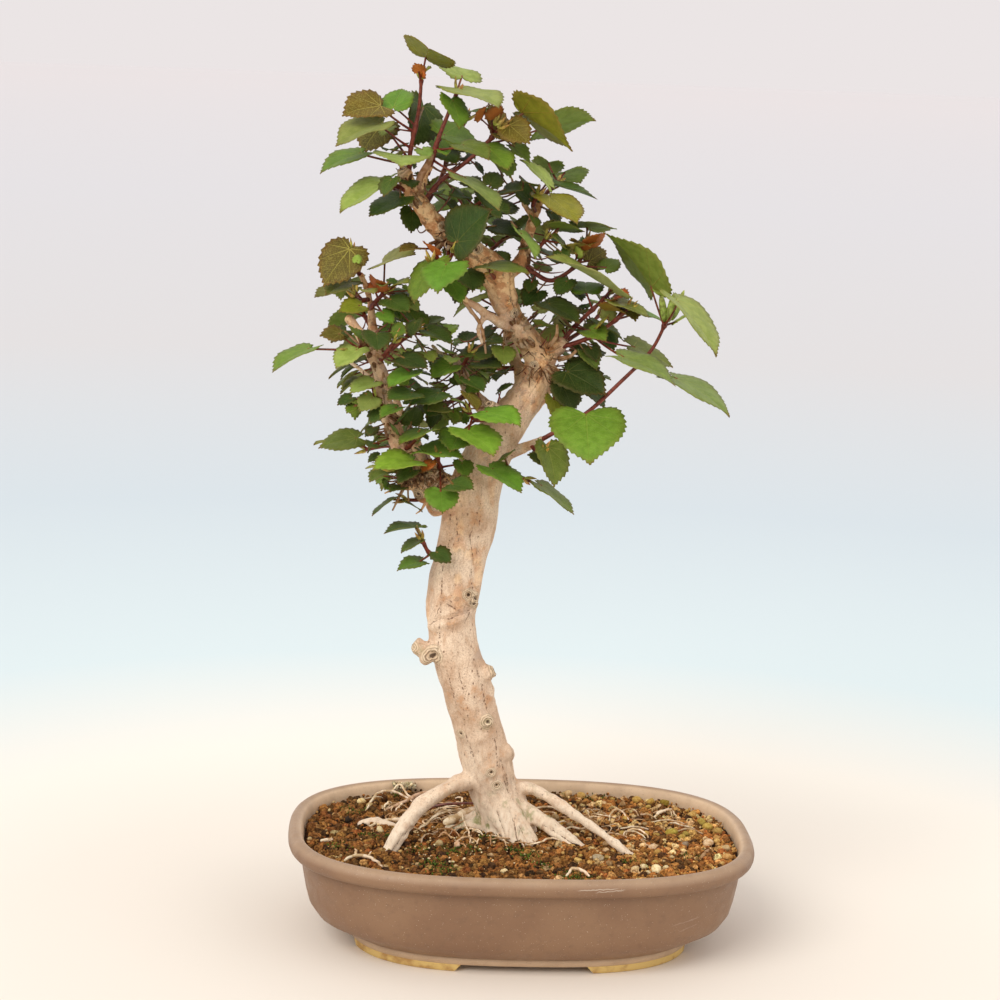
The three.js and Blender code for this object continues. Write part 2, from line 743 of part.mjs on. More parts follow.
    stem: [[-96, 10, 360], [-93, 4, 365], [-88, 0, 371]],
    leaves: [
      [-89, 4, 388, -72, -13, 395, -26],
      [-85, -6, 368, -74, -17, 363, -21],
      [-79, 12, 368, -68, 24, 371, -10],
    ],
  },
  {
    name: "shoot_left_stub",
    stem: [[-97, -10, 342], [-102, -17, 341], [-107, -18, 340]],
    leaves: [
      [-129, -14, 340, -150, -26, 329, -4],
      [-102, -20, 341, -114, -31, 332, 7],
    ],
  },
  {
    name: "shoot_left_front",
    stem: [[-90, -12, 333], [-85, -20, 341], [-82, -24, 346]],
    leaves: [
      [-92, -28, 351, -91, -42, 343, 5],
      [-77, -24, 338, -63, -33, 334, -19],
      [-72, -28, 331, -85, -38, 323, 3],
    ],
  },
  {
    name: "shoot_left_reach",
    stem: [[-92, -9, 333], [-84, -6, 339], [-76, -4, 346], [-70, -6, 351]],
    leaves: [
      [-64, -12, 352, -49, -19, 346, -13],
      [-61, -2, 348, -45, 9, 354, -7],
      [-69, 6, 354, -77, 17, 364, 1],
    ],
  },
  {
    name: "shoot_mid_cut_tuft",
    stem: [[-43, 13, 325], [-43, 6, 329], [-42, 0, 332], [-39, -4, 339]],
    leaves: [
      [-49, -8, 332, -61, -17, 326, 16],
      [-37, -8, 338, -26, 6, 343, -7],
      [-34, -12, 334, -21, -23, 333, -20],
      [-41, 0, 343, -30, 9, 345, -10],
      [-40, -14, 325, -31, -24, 320, -7],
    ],
  },
  {
    name: "shoot_mid_lower",
    stem: [[-36, 13, 313], [-46, 10, 310], [-53, -6, 310], [-55, -14, 314]],
    leaves: [
      [-56, -20, 318, -73, -31, 312, 10],
      [-71, -18, 319, -85, -30, 317, 12],
    ],
  },
  {
    name: "shoot_left_lower",
    stem: [[-84, -10, 305], [-89, -16, 310], [-92, -18, 314]],
    leaves: [
      [-93, -20, 323, -106, -28, 318, 11],
      [-79, -26, 311, -89, -34, 306, 2],
    ],
  },
  {
    name: "shoot_left_base",
    stem: [[-76, -10, 282], [-71, -18, 288], [-68, -22, 292]],
    leaves: [
      [-62, -24, 297, -78, -36, 291, -6],
    ],
  },
];

// Shoots of the sides that the front view hides: root, tip and number of leaves
const HIDDEN_SHOOTS = [
  { name: "back_shoot_1", root: [-16, 54, 348], tip: [-22, 76, 372], count: 4 },
  { name: "back_shoot_2", root: [-12, 36, 332], tip: [12, 56, 340], count: 4 },
  { name: "back_shoot_3", root: [-10, 30, 327], tip: [-34, 50, 322], count: 4 },
  { name: "back_shoot_4", root: [-40, 47, 403], tip: [-44, 70, 420], count: 4 },
  { name: "back_shoot_5", root: [-34, 26, 389], tip: [-14, 48, 404], count: 4 },
  { name: "back_shoot_6", root: [-80, 40, 306], tip: [-92, 62, 326], count: 5 },
  { name: "back_shoot_7", root: [-68, 22, 284], tip: [-96, 34, 276], count: 4 },
  { name: "back_shoot_8", root: [-92, 8, 345], tip: [-104, 36, 366], count: 4 },
  { name: "back_shoot_9", root: [12, 6, 344], tip: [36, 34, 358], count: 4 },
  { name: "back_shoot_10", root: [-4, 14, 418], tip: [10, 38, 434], count: 4 },
  { name: "back_shoot_11", root: [-66, -4, 417], tip: [-84, 26, 428], count: 4 },
];

// Wood as balls along its paths, for keeping leaves clear of it
const BALL_STEP = 3;
const woodBalls = [];
for (const path of [TRUNK, ...Object.values(LIMBS)]) {
  let reach = 0;
  for (let i = 1; i < path.length; i += 1) {
    reach += Math.hypot(...[0, 1, 2].map((k) => path[i][k] - path[i - 1][k]));
  }
  const steps = Math.ceil(reach / BALL_STEP);
  for (let i = 0; i <= steps; i += 1) {
    woodBalls.push(onPath(path, i / steps));
  }
}
woodBalls.push(...KNOBS);

function inWood(p, margin) {
  return woodBalls.some(([x, y, z, r]) => Math.hypot(p.x - x, p.y - y, p.z - z) < r + margin);
}

// Leaves are kept apart by sample points: steps, clearances and the stalk's way into the blade
const SAMPLE_STEP = 2.5;
const BLADE_CLEAR = 3.2;
const STALK_CLEAR = 2.4;
const STEM_CLEAR = 2.8;
const WOOD_CLEAR = 1.4;
const STALK_WOOD_CLEAR = 1;
const STALK_SINK = 1.1;
const STEM_NODES = 24;

function halfWidth(u) {
  const span = u < 0.22 ? 0.4 : 0.78;
  return 0.52 * Math.sqrt(Math.max(0, 1 - ((u - 0.22) / span) ** 2));
}

function bladeSamples(leaf) {
  const samples = [];
  const rows = Math.ceil((1.16 * leaf.length) / SAMPLE_STEP);
  for (let i = 0; i <= rows; i += 1) {
    const u = -0.16 + (1.16 * i) / rows;
    const width = halfWidth(u);
    const columns = Math.max(1, Math.ceil((width * leaf.length) / SAMPLE_STEP));
    for (let j = -columns; j <= columns; j += 1) {
      samples.push(onBlade(leaf, u, (width * j) / columns, 0));
    }
  }
  return samples;
}

// Points of a stem that are out of the wood, with how far along the stem they are
function stemNodes(stem) {
  const reach = stemLength(stem);
  const nodes = [];
  for (let i = 0; i <= STEM_NODES; i += 1) {
    const [x, y, z] = onPath(stem, i / STEM_NODES);
    const point = new THREE.Vector3(x, y, z);
    if (!inWood(point, STALK_WOOD_CLEAR)) {
      nodes.push({ point, far: (reach * i) / STEM_NODES });
    }
  }
  return nodes;
}

// The stalk leaves the stem a little before the point nearest to the joint
function stalkPath(nodes, leaf) {
  const cost = ({ point, far }) => point.distanceTo(leaf.joint) + 0.5 * far;
  const best = nodes.reduce((a, b) => (cost(b) < cost(a) ? b : a));
  const end = onBlade(leaf, STALK_SINK / leaf.length, 0, 0);
  return [best.point, end];
}

function stemLength(stem) {
  let reach = 0;
  for (let i = 1; i < stem.length; i += 1) {
    reach += Math.hypot(...[0, 1, 2].map((k) => stem[i][k] - stem[i - 1][k]));
  }
  return reach;
}

function lineSamples(points) {
  const samples = [];
  for (let i = 1; i < points.length; i += 1) {
    const steps = Math.max(1, Math.ceil(points[i].distanceTo(points[i - 1]) / 2));
    for (let k = 0; k < steps; k += 1) {
      samples.push(points[i - 1].clone().lerp(points[i], k / steps));
    }
  }
  samples.push(points[points.length - 1].clone());
  return samples;
}

// Whether any point of one list is within a distance of any point of the other
function near(first, second, limit) {
  return first.some((p) => second.some((q) => p.distanceTo(q) < limit));
}

const placed = [];
const stems = [];

// Whether a leaf is clear of the wood, of other leaves and of other shoots
function isClear(shoot, leaf, samples, stalk) {
  const inBlade = (p) => inWood(p, WOOD_CLEAR);
  const inStalk = (p) => inWood(p, STALK_WOOD_CLEAR);
  if (samples.some(inBlade) || stalk.some(inStalk)) {
    return false;
  }
  for (const other of placed) {
    const reach = 0.8 * (leaf.length + other.leaf.length) + BLADE_CLEAR;
    const apart = leaf.joint.distanceTo(other.leaf.joint) > reach + 8;
    if (!apart && near(samples, other.samples, BLADE_CLEAR)) {
      return false;
    }
    if (other.shoot !== shoot) {
      if (near(stalk, other.samples, STALK_CLEAR) || near(samples, other.stalk, STALK_CLEAR)) {
        return false;
      }
      if (near(stalk, other.stalk, STALK_CLEAR)) {
        return false;
      }
    }
  }
  for (const stem of stems) {
    if (stem.shoot !== shoot) {
      if (near(samples, stem.samples, STEM_CLEAR) || near(stalk, stem.samples, STALK_CLEAR)) {
        return false;
      }
    }
  }
  return true;
}

// Small moves tried in turn: depth, height, turn about the joint
const MOVES = [[0, 0, 0]];
for (const turn of [0, 12, -12, 24, -24]) {
  for (const lift of [0, 3, -3, 6, -6]) {
    for (const depth of [0, -4, 4, -8, 8, -12, 12]) {
      MOVES.push([depth, lift, turn]);
    }
  }
}

function moved(row, [depth, lift, turn]) {
  const [jx, jy, jz, tx, ty, tz, roll] = row;
  const a = (turn * Math.PI) / 180;
  const dx = (tx - jx) * Math.cos(a) - (ty - jy) * Math.sin(a);
  const dy = (tx - jx) * Math.sin(a) + (ty - jy) * Math.cos(a);
  return [jx, jy + depth, jz + lift, jx + dx, jy + depth + dy, tz + lift, roll];
}

// The first place near the row's own that is clear
function settle(shoot, row) {
  const fold = 0.02 + 0.2 * leafDraw();
  const arch = 0.05 + 0.12 * leafDraw();
  for (const move of MOVES) {
    const leaf = leafFrame(moved(row, move), fold, arch);
    const samples = bladeSamples(leaf);
    const path = stalkPath(shoot.nodes, leaf);
    const stalk = lineSamples(path);
    if (isClear(shoot, leaf, samples, stalk)) {
      placed.push({ shoot, leaf, samples, stalk });
      return { shoot, leaf, path };
    }
  }
  return null;
}

// Leaves of a hidden shoot, to either side of its stem in turn and one at its tip
function hiddenLeaves({ stem, count }) {
  const root = stem[0];
  const tip = stem[stem.length - 1];
  const lean = Math.atan2(tip[1] - root[1], tip[0] - root[0]);
  const rows = [];
  for (let i = 0; i < count; i += 1) {
    const [x, y, z] = onPath(stem, 0.3 + (0.7 * i) / (count - 1));
    const sideways = i === count - 1 ? 0 : (i % 2 === 0 ? 1 : -1) * (0.5 + 1.1 * leafDraw());
    const heading = lean + sideways;
    const stalk = 7 + 8 * leafDraw();
    const length = 15 + 11 * leafDraw();
    const droop = 0.2 + 0.5 * leafDraw();
    const jx = x + 0.8 * stalk * Math.cos(heading);
    const jy = y + 0.8 * stalk * Math.sin(heading);
    const jz = z + 0.6 * stalk;
    const tx = jx + length * Math.cos(droop) * Math.cos(heading);
    const ty = jy + length * Math.cos(droop) * Math.sin(heading);
    const tz = jz - length * Math.sin(droop);
    rows.push([jx, jy, jz, tx, ty, tz, -20 + 40 * leafDraw()]);
  }
  return rows;
}

function bentStem(root, tip) {
  const middle = root.map((value, k) => (value + tip[k]) / 2 + 3 * (leafDraw() - 0.5));
  return [root, middle, tip];
}

const allShoots = SHOOTS.map(({ name, stem, leaves }) => ({ name, stem, leaves }));
for (const { name, root, tip, count } of HIDDEN_SHOOTS) {
  const stem = bentStem(root, tip);
  allShoots.push({ name, stem, leaves: hiddenLeaves({ stem, count }) });
}
for (const shoot of allShoots) {
  const points = shoot.stem.map(([x, y, z]) => new THREE.Vector3(x, y, z));
  shoot.nodes = stemNodes(shoot.stem);
  stems.push({ shoot, samples: lineSamples(points) });
}

// The largest leaves settle first, so that they keep their places
function rowLength([jx, jy, jz, tx, ty, tz]) {
  return Math.hypot(tx - jx, ty - jy, tz - jz);
}
const rows = allShoots.flatMap((shoot) => shoot.leaves.map((row) => ({ shoot, row })));
rows.sort((a, b) => rowLength(b.row) - rowLength(a.row));
const grownLeaves = rows.map(({ shoot, row }) => settle(shoot, row)).filter(Boolean);

function tapered(points, first, last) {
  const count = points.length - 1;
  return points.map((p, i) => {
    const [x, y, z] = p.isVector3 ? p.toArray() : p;
    return [x, y, z, first + ((last - first) * i) / count];
  });
}

function makeShoot(shoot, woodSolid) {
  const path = tapered(shoot.stem, STEM_ROOT, STEM_TIP);
  const solids = [solidOf(limb(path, 4, shoot.stem.length - 1, 0, 0))];
  for (const grown of grownLeaves.filter((g) => g.shoot === shoot)) {
    const stalk = tapered(grown.path, STALK_ROOT, STALK_TIP);
    solids.push(solidOf(limb(stalk, 3, 1, 0, 0)));
    solids.push(solidOf(blade(grown.leaf)));
  }
  return largestBody(fuse(solids).subtract(woodSolid));
}

const group = new THREE.Group();
group.position.x = POT_OFFSET;

function addPiece(name, solid, [colour, roughness]) {
  const material = new THREE.MeshStandardMaterial({ color: colour, roughness, metalness: 0 });
  const mesh = new THREE.Mesh(geometryOf(solid), material);
  mesh.name = name;
  group.add(mesh);
}

const grownWood = wood(GAP);
const screenPlaces = { drain_screen_left: -DRAIN_SPACING, drain_screen_right: DRAIN_SPACING };
const roomForScreens = Object.values(screenPlaces).map((x) => makeScreen(x, GAP));

addPiece("pot", makePot(), COLOURS.clay);
addPiece("soil", makeSoil(grownWood, roomForScreens, makeWire(GAP)), COLOURS.soil);
for (const [name, x] of Object.entries(screenPlaces)) {
  addPiece(name, makeScreen(x, 0), COLOURS.mesh);
}
addPiece("trunk", wood(0), COLOURS.bark);
addPiece("tie_wire", makeWire(0), COLOURS.wire);
for (const shoot of allShoots) {
  addPiece(shoot.name, makeShoot(shoot, grownWood), COLOURS.leaf);
}

export default group;
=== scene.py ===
import math

import bmesh
import bpy
import numpy as np
from mathutils import Matrix, Vector


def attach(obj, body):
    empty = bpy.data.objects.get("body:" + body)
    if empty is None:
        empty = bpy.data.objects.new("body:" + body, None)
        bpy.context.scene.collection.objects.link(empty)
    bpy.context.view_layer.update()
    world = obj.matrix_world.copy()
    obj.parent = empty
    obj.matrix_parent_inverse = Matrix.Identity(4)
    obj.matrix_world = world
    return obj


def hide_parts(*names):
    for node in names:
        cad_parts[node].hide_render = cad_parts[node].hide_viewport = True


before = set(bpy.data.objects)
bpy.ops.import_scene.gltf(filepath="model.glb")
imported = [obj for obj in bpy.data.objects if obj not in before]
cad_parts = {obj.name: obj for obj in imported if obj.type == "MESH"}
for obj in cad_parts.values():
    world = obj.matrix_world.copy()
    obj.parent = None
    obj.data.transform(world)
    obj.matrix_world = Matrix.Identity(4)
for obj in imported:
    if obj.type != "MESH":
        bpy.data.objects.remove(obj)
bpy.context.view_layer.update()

scene = bpy.context.scene

# The canopy reaches further left than the pot, so the pot stands right of the middle
POT_OFFSET = 7.0

# Sizes and the seed shared with the solids
POT_LENGTH, POT_DEPTH, POT_HEIGHT, POT_POWER = 270.0, 206.0, 62.0, 2.78
POT_UNDER, POT_FLOOR = 7.5, 15.0
FOOT_GAP_X, FOOT_GAP_Y = 74.0, 72.0
END_TUCK, TUCK_TOP, TUCK_FOOT = 11.0, 20.0, 9.0
DRAIN_RADIUS, DRAIN_SPACING = 8.0, 56.0
GAP = 0.35
SOIL_DROP, MOUND_RISE, MOUND_SPREAD, FRONT_RISE = 6.4, 5.0, 2200.0, 1.6
WIRE_RADIUS = 0.8
LEAF_SEED = 4711


def draws_from(seed):
    """Seeded draws between 0 and 1, as the solids use."""
    state = [seed]

    def draw():
        state[0] = (state[0] * 16807) % 2147483647
        return state[0] / 2147483647

    return draw


def on_path(path, t):
    """A point on a smooth path through tuples of equal size."""
    spans = len(path) - 1
    k = min(int(math.floor(t * spans)), spans - 1)
    f = t * spans - k
    p0, p1 = path[max(k - 1, 0)], path[k]
    p2, p3 = path[k + 1], path[min(k + 2, spans)]
    found = []
    for a, b, c, d in zip(p0, p1, p2, p3):
        one = (c - a) * f
        two = (2 * a - 5 * b + 4 * c - d) * f * f
        three = (3 * b - a - 3 * c + d) * f * f * f
        found.append((2 * b + one + two + three) / 2)
    return found


def dist(p, q):
    return math.sqrt(sum((a - b) ** 2 for a, b in zip(p[:3], q[:3])))


def path_length(path):
    return sum(dist(p, q) for p, q in zip(path, path[1:]))


# Wood: every path is a list of (x, y, z, radius)
TRUNK = [
    (-5, 1, 40, 17), (-6, 0, 56, 17), (-10, -1, 70, 14.8), (-16, -1, 84, 13.8),
    (-22, -2, 104, 14.4), (-28, -3, 124, 13.8), (-34, -5, 144, 14.2), (-41, -6, 164, 14.2),
    (-45, -5, 184, 14.6), (-44, -3, 203, 15.2), (-40, 0, 222, 15.2), (-37, 3, 240, 15.6),
    (-34, 5, 259, 14.6), (-28, 6, 276, 13.6), (-17, 8, 297, 11.8), (-7, 9, 310, 10.2),
    (0, 10, 322, 10.2), (2, 10, 334, 9.6), (-5, 8, 345, 7.4), (-16, 5, 359, 7),
    (-21, 2, 371, 8.2), (-26, 0, 384, 9.2), (-41, -3, 395, 7.8), (-55, -5, 406, 6.8),
    (-67, -6, 418, 5.8), (-76, -7, 430, 5), (-80, -7, 438, 4.4),
]
LIMBS = {
    "left_limb": [
        (-38, 4, 252, 10), (-53, -3, 262, 9.2), (-67, -8, 268, 7.6), (-76, -10, 284, 5.8),
        (-82, -10, 298, 5.1), (-87, -10, 312, 4.8), (-89, -10, 326, 4.5), (-95, -10, 339, 3.9),
        (-102, -10, 350, 3.2), (-108, -10, 358, 2.6),
    ],
    "left_twig": [
        (-87, -9, 320, 3.8), (-91, 3, 336, 3.1), (-94, 9, 351, 2.7), (-96, 10, 364, 2.4),
        (-99, 8, 375, 1.9), (-102, 6, 381, 1.6),
    ],
    "left_knob": [(-48, -6, 168, 8), (-57, -11, 168, 6.4), (-65, -11, 171, 4.2)],
    "cut_limb": [(-16, 6, 299, 6.4), (-23, -6, 305, 5.2), (-29, -14, 310, 4.4)],
    "back_stub": [(-19, 8, 300, 5.6), (-33, 13, 310, 4.6), (-42, 14, 323, 4), (-49, 14, 335, 3.6)],
    "spur": [(-12, 6, 350, 4), (-24, -3, 357, 3.2), (-33, -8, 363, 2.6), (-46, -10, 372, 1.8)],
    "spur_prong": [(-31, -7, 361, 2), (-35, -9, 353, 1.4), (-32, -9, 345, 1)],
    "right_leader": [
        (-25, 1, 382, 6.8), (-13, 8, 388, 4.4), (-9, 12, 399, 3.6), (-6, 14, 411, 3),
        (-3, 14, 420, 2.6), (0, 14, 426, 2),
    ],
    "leader_prong": [(-5, 14, 414, 1.9), (-11, 13, 423, 1.6), (-14, 11, 430, 1.2)],
    "right_limb": [(1, 10, 332, 8), (9, 7, 340, 5.6), (15, 3, 347, 3.8)],
    "low_right": [(-22, 6, 279, 4.6), (-8, -2, 285, 3.4), (4, -8, 292, 2)],
    "crown_twig": [(-74, -6, 424, 3), (-69, -8, 433, 2.3), (-64, -9, 443, 1.7)],
    "back_limb": [(-6, 10, 314, 6.4), (-8, 26, 324, 4.6), (-14, 42, 336, 3.4), (-16, 56, 350, 2.2)],
    "back_high": [(-24, 2, 376, 6), (-30, 18, 384, 4), (-38, 34, 394, 2.8), (-40, 48, 404, 1.8)],
    "back_left": [(-52, -2, 262, 6.6), (-62, 14, 274, 4.4), (-74, 30, 292, 3), (-80, 42, 308, 2)],
}
ROOTS = {
    "root_left": [
        (-20, 0, 93, 6.2), (-31, -6, 91, 5.4), (-40, -10, 89, 4.9), (-48, -14, 85, 4.8),
        (-57, -18, 80, 4.7), (-65, -23, 72, 4.4), (-71, -28, 64, 4.1), (-77, -33, 55, 3.7),
        (-80, -36, 49, 3.2),
    ],
    "root_right": [
        (-12, 0, 87, 4.8), (-1, -2, 86, 4), (10, -5, 84, 3.5), (24, -12, 77, 3),
        (42, -20, 67, 2.6), (60, -30, 56, 2.3), (66, -33, 51, 2.1),
    ],
    "root_front": [(-12, -6, 78, 9.8), (-6, -13, 68, 9), (0, -18, 59, 8), (6, -23, 49, 6.6)],
    "root_front_right": [
        (-4, -4, 76, 6), (10, -9, 69, 4.6), (24, -15, 61, 4), (36, -21, 54, 3.4),
        (42, -25, 49, 3),
    ],
    "root_back_left": [
        (-14, 4, 72, 5), (-24, 9, 65, 4), (-32, 15, 59, 3.4), (-40, 21, 53, 3), (-46, 25, 49, 2.8),
    ],
    "root_far_left": [
        (-14, -2, 66, 6), (-34, 4, 58, 4.6), (-56, 11, 53, 3.8), (-76, 15, 55, 3.6),
        (-86, 17, 57, 3.4), (-94, 17, 54, 2.4),
    ],
    "root_back": [(-4, 6, 68, 7.4), (4, 18, 58, 5.2), (12, 30, 54, 4.4), (20, 40, 48, 4)],
    "root_back_mid": [(-12, 6, 68, 7), (-18, 20, 58, 5), (-26, 34, 53, 4.2), (-32, 44, 48, 3.6)],
}
KNOBS = [
    (-58, -16, 165, 5), (-25, -8, 155, 5.6), (-22, -15, 129, 3.4),
    (-59, -11, 267, 8.2), (-79, -7, 437, 5.4), (5, 7, 335, 6.5), (-34, -12, 198, 3.8),
    (-12, -6, 107, 6.2), (-63, -7, 259, 6.8), (-55, -6, 251, 6.6), (-72, -9, 267, 6.6),
]
TIE_WIRE = [
    (-66, 26, 48), (-58, 24, 60), (-48, 21, 67), (-30, 20, 69), (-10, 21, 68.5), (8, 23, 66),
    (16, 26, 58), (20, 28, 46),
]

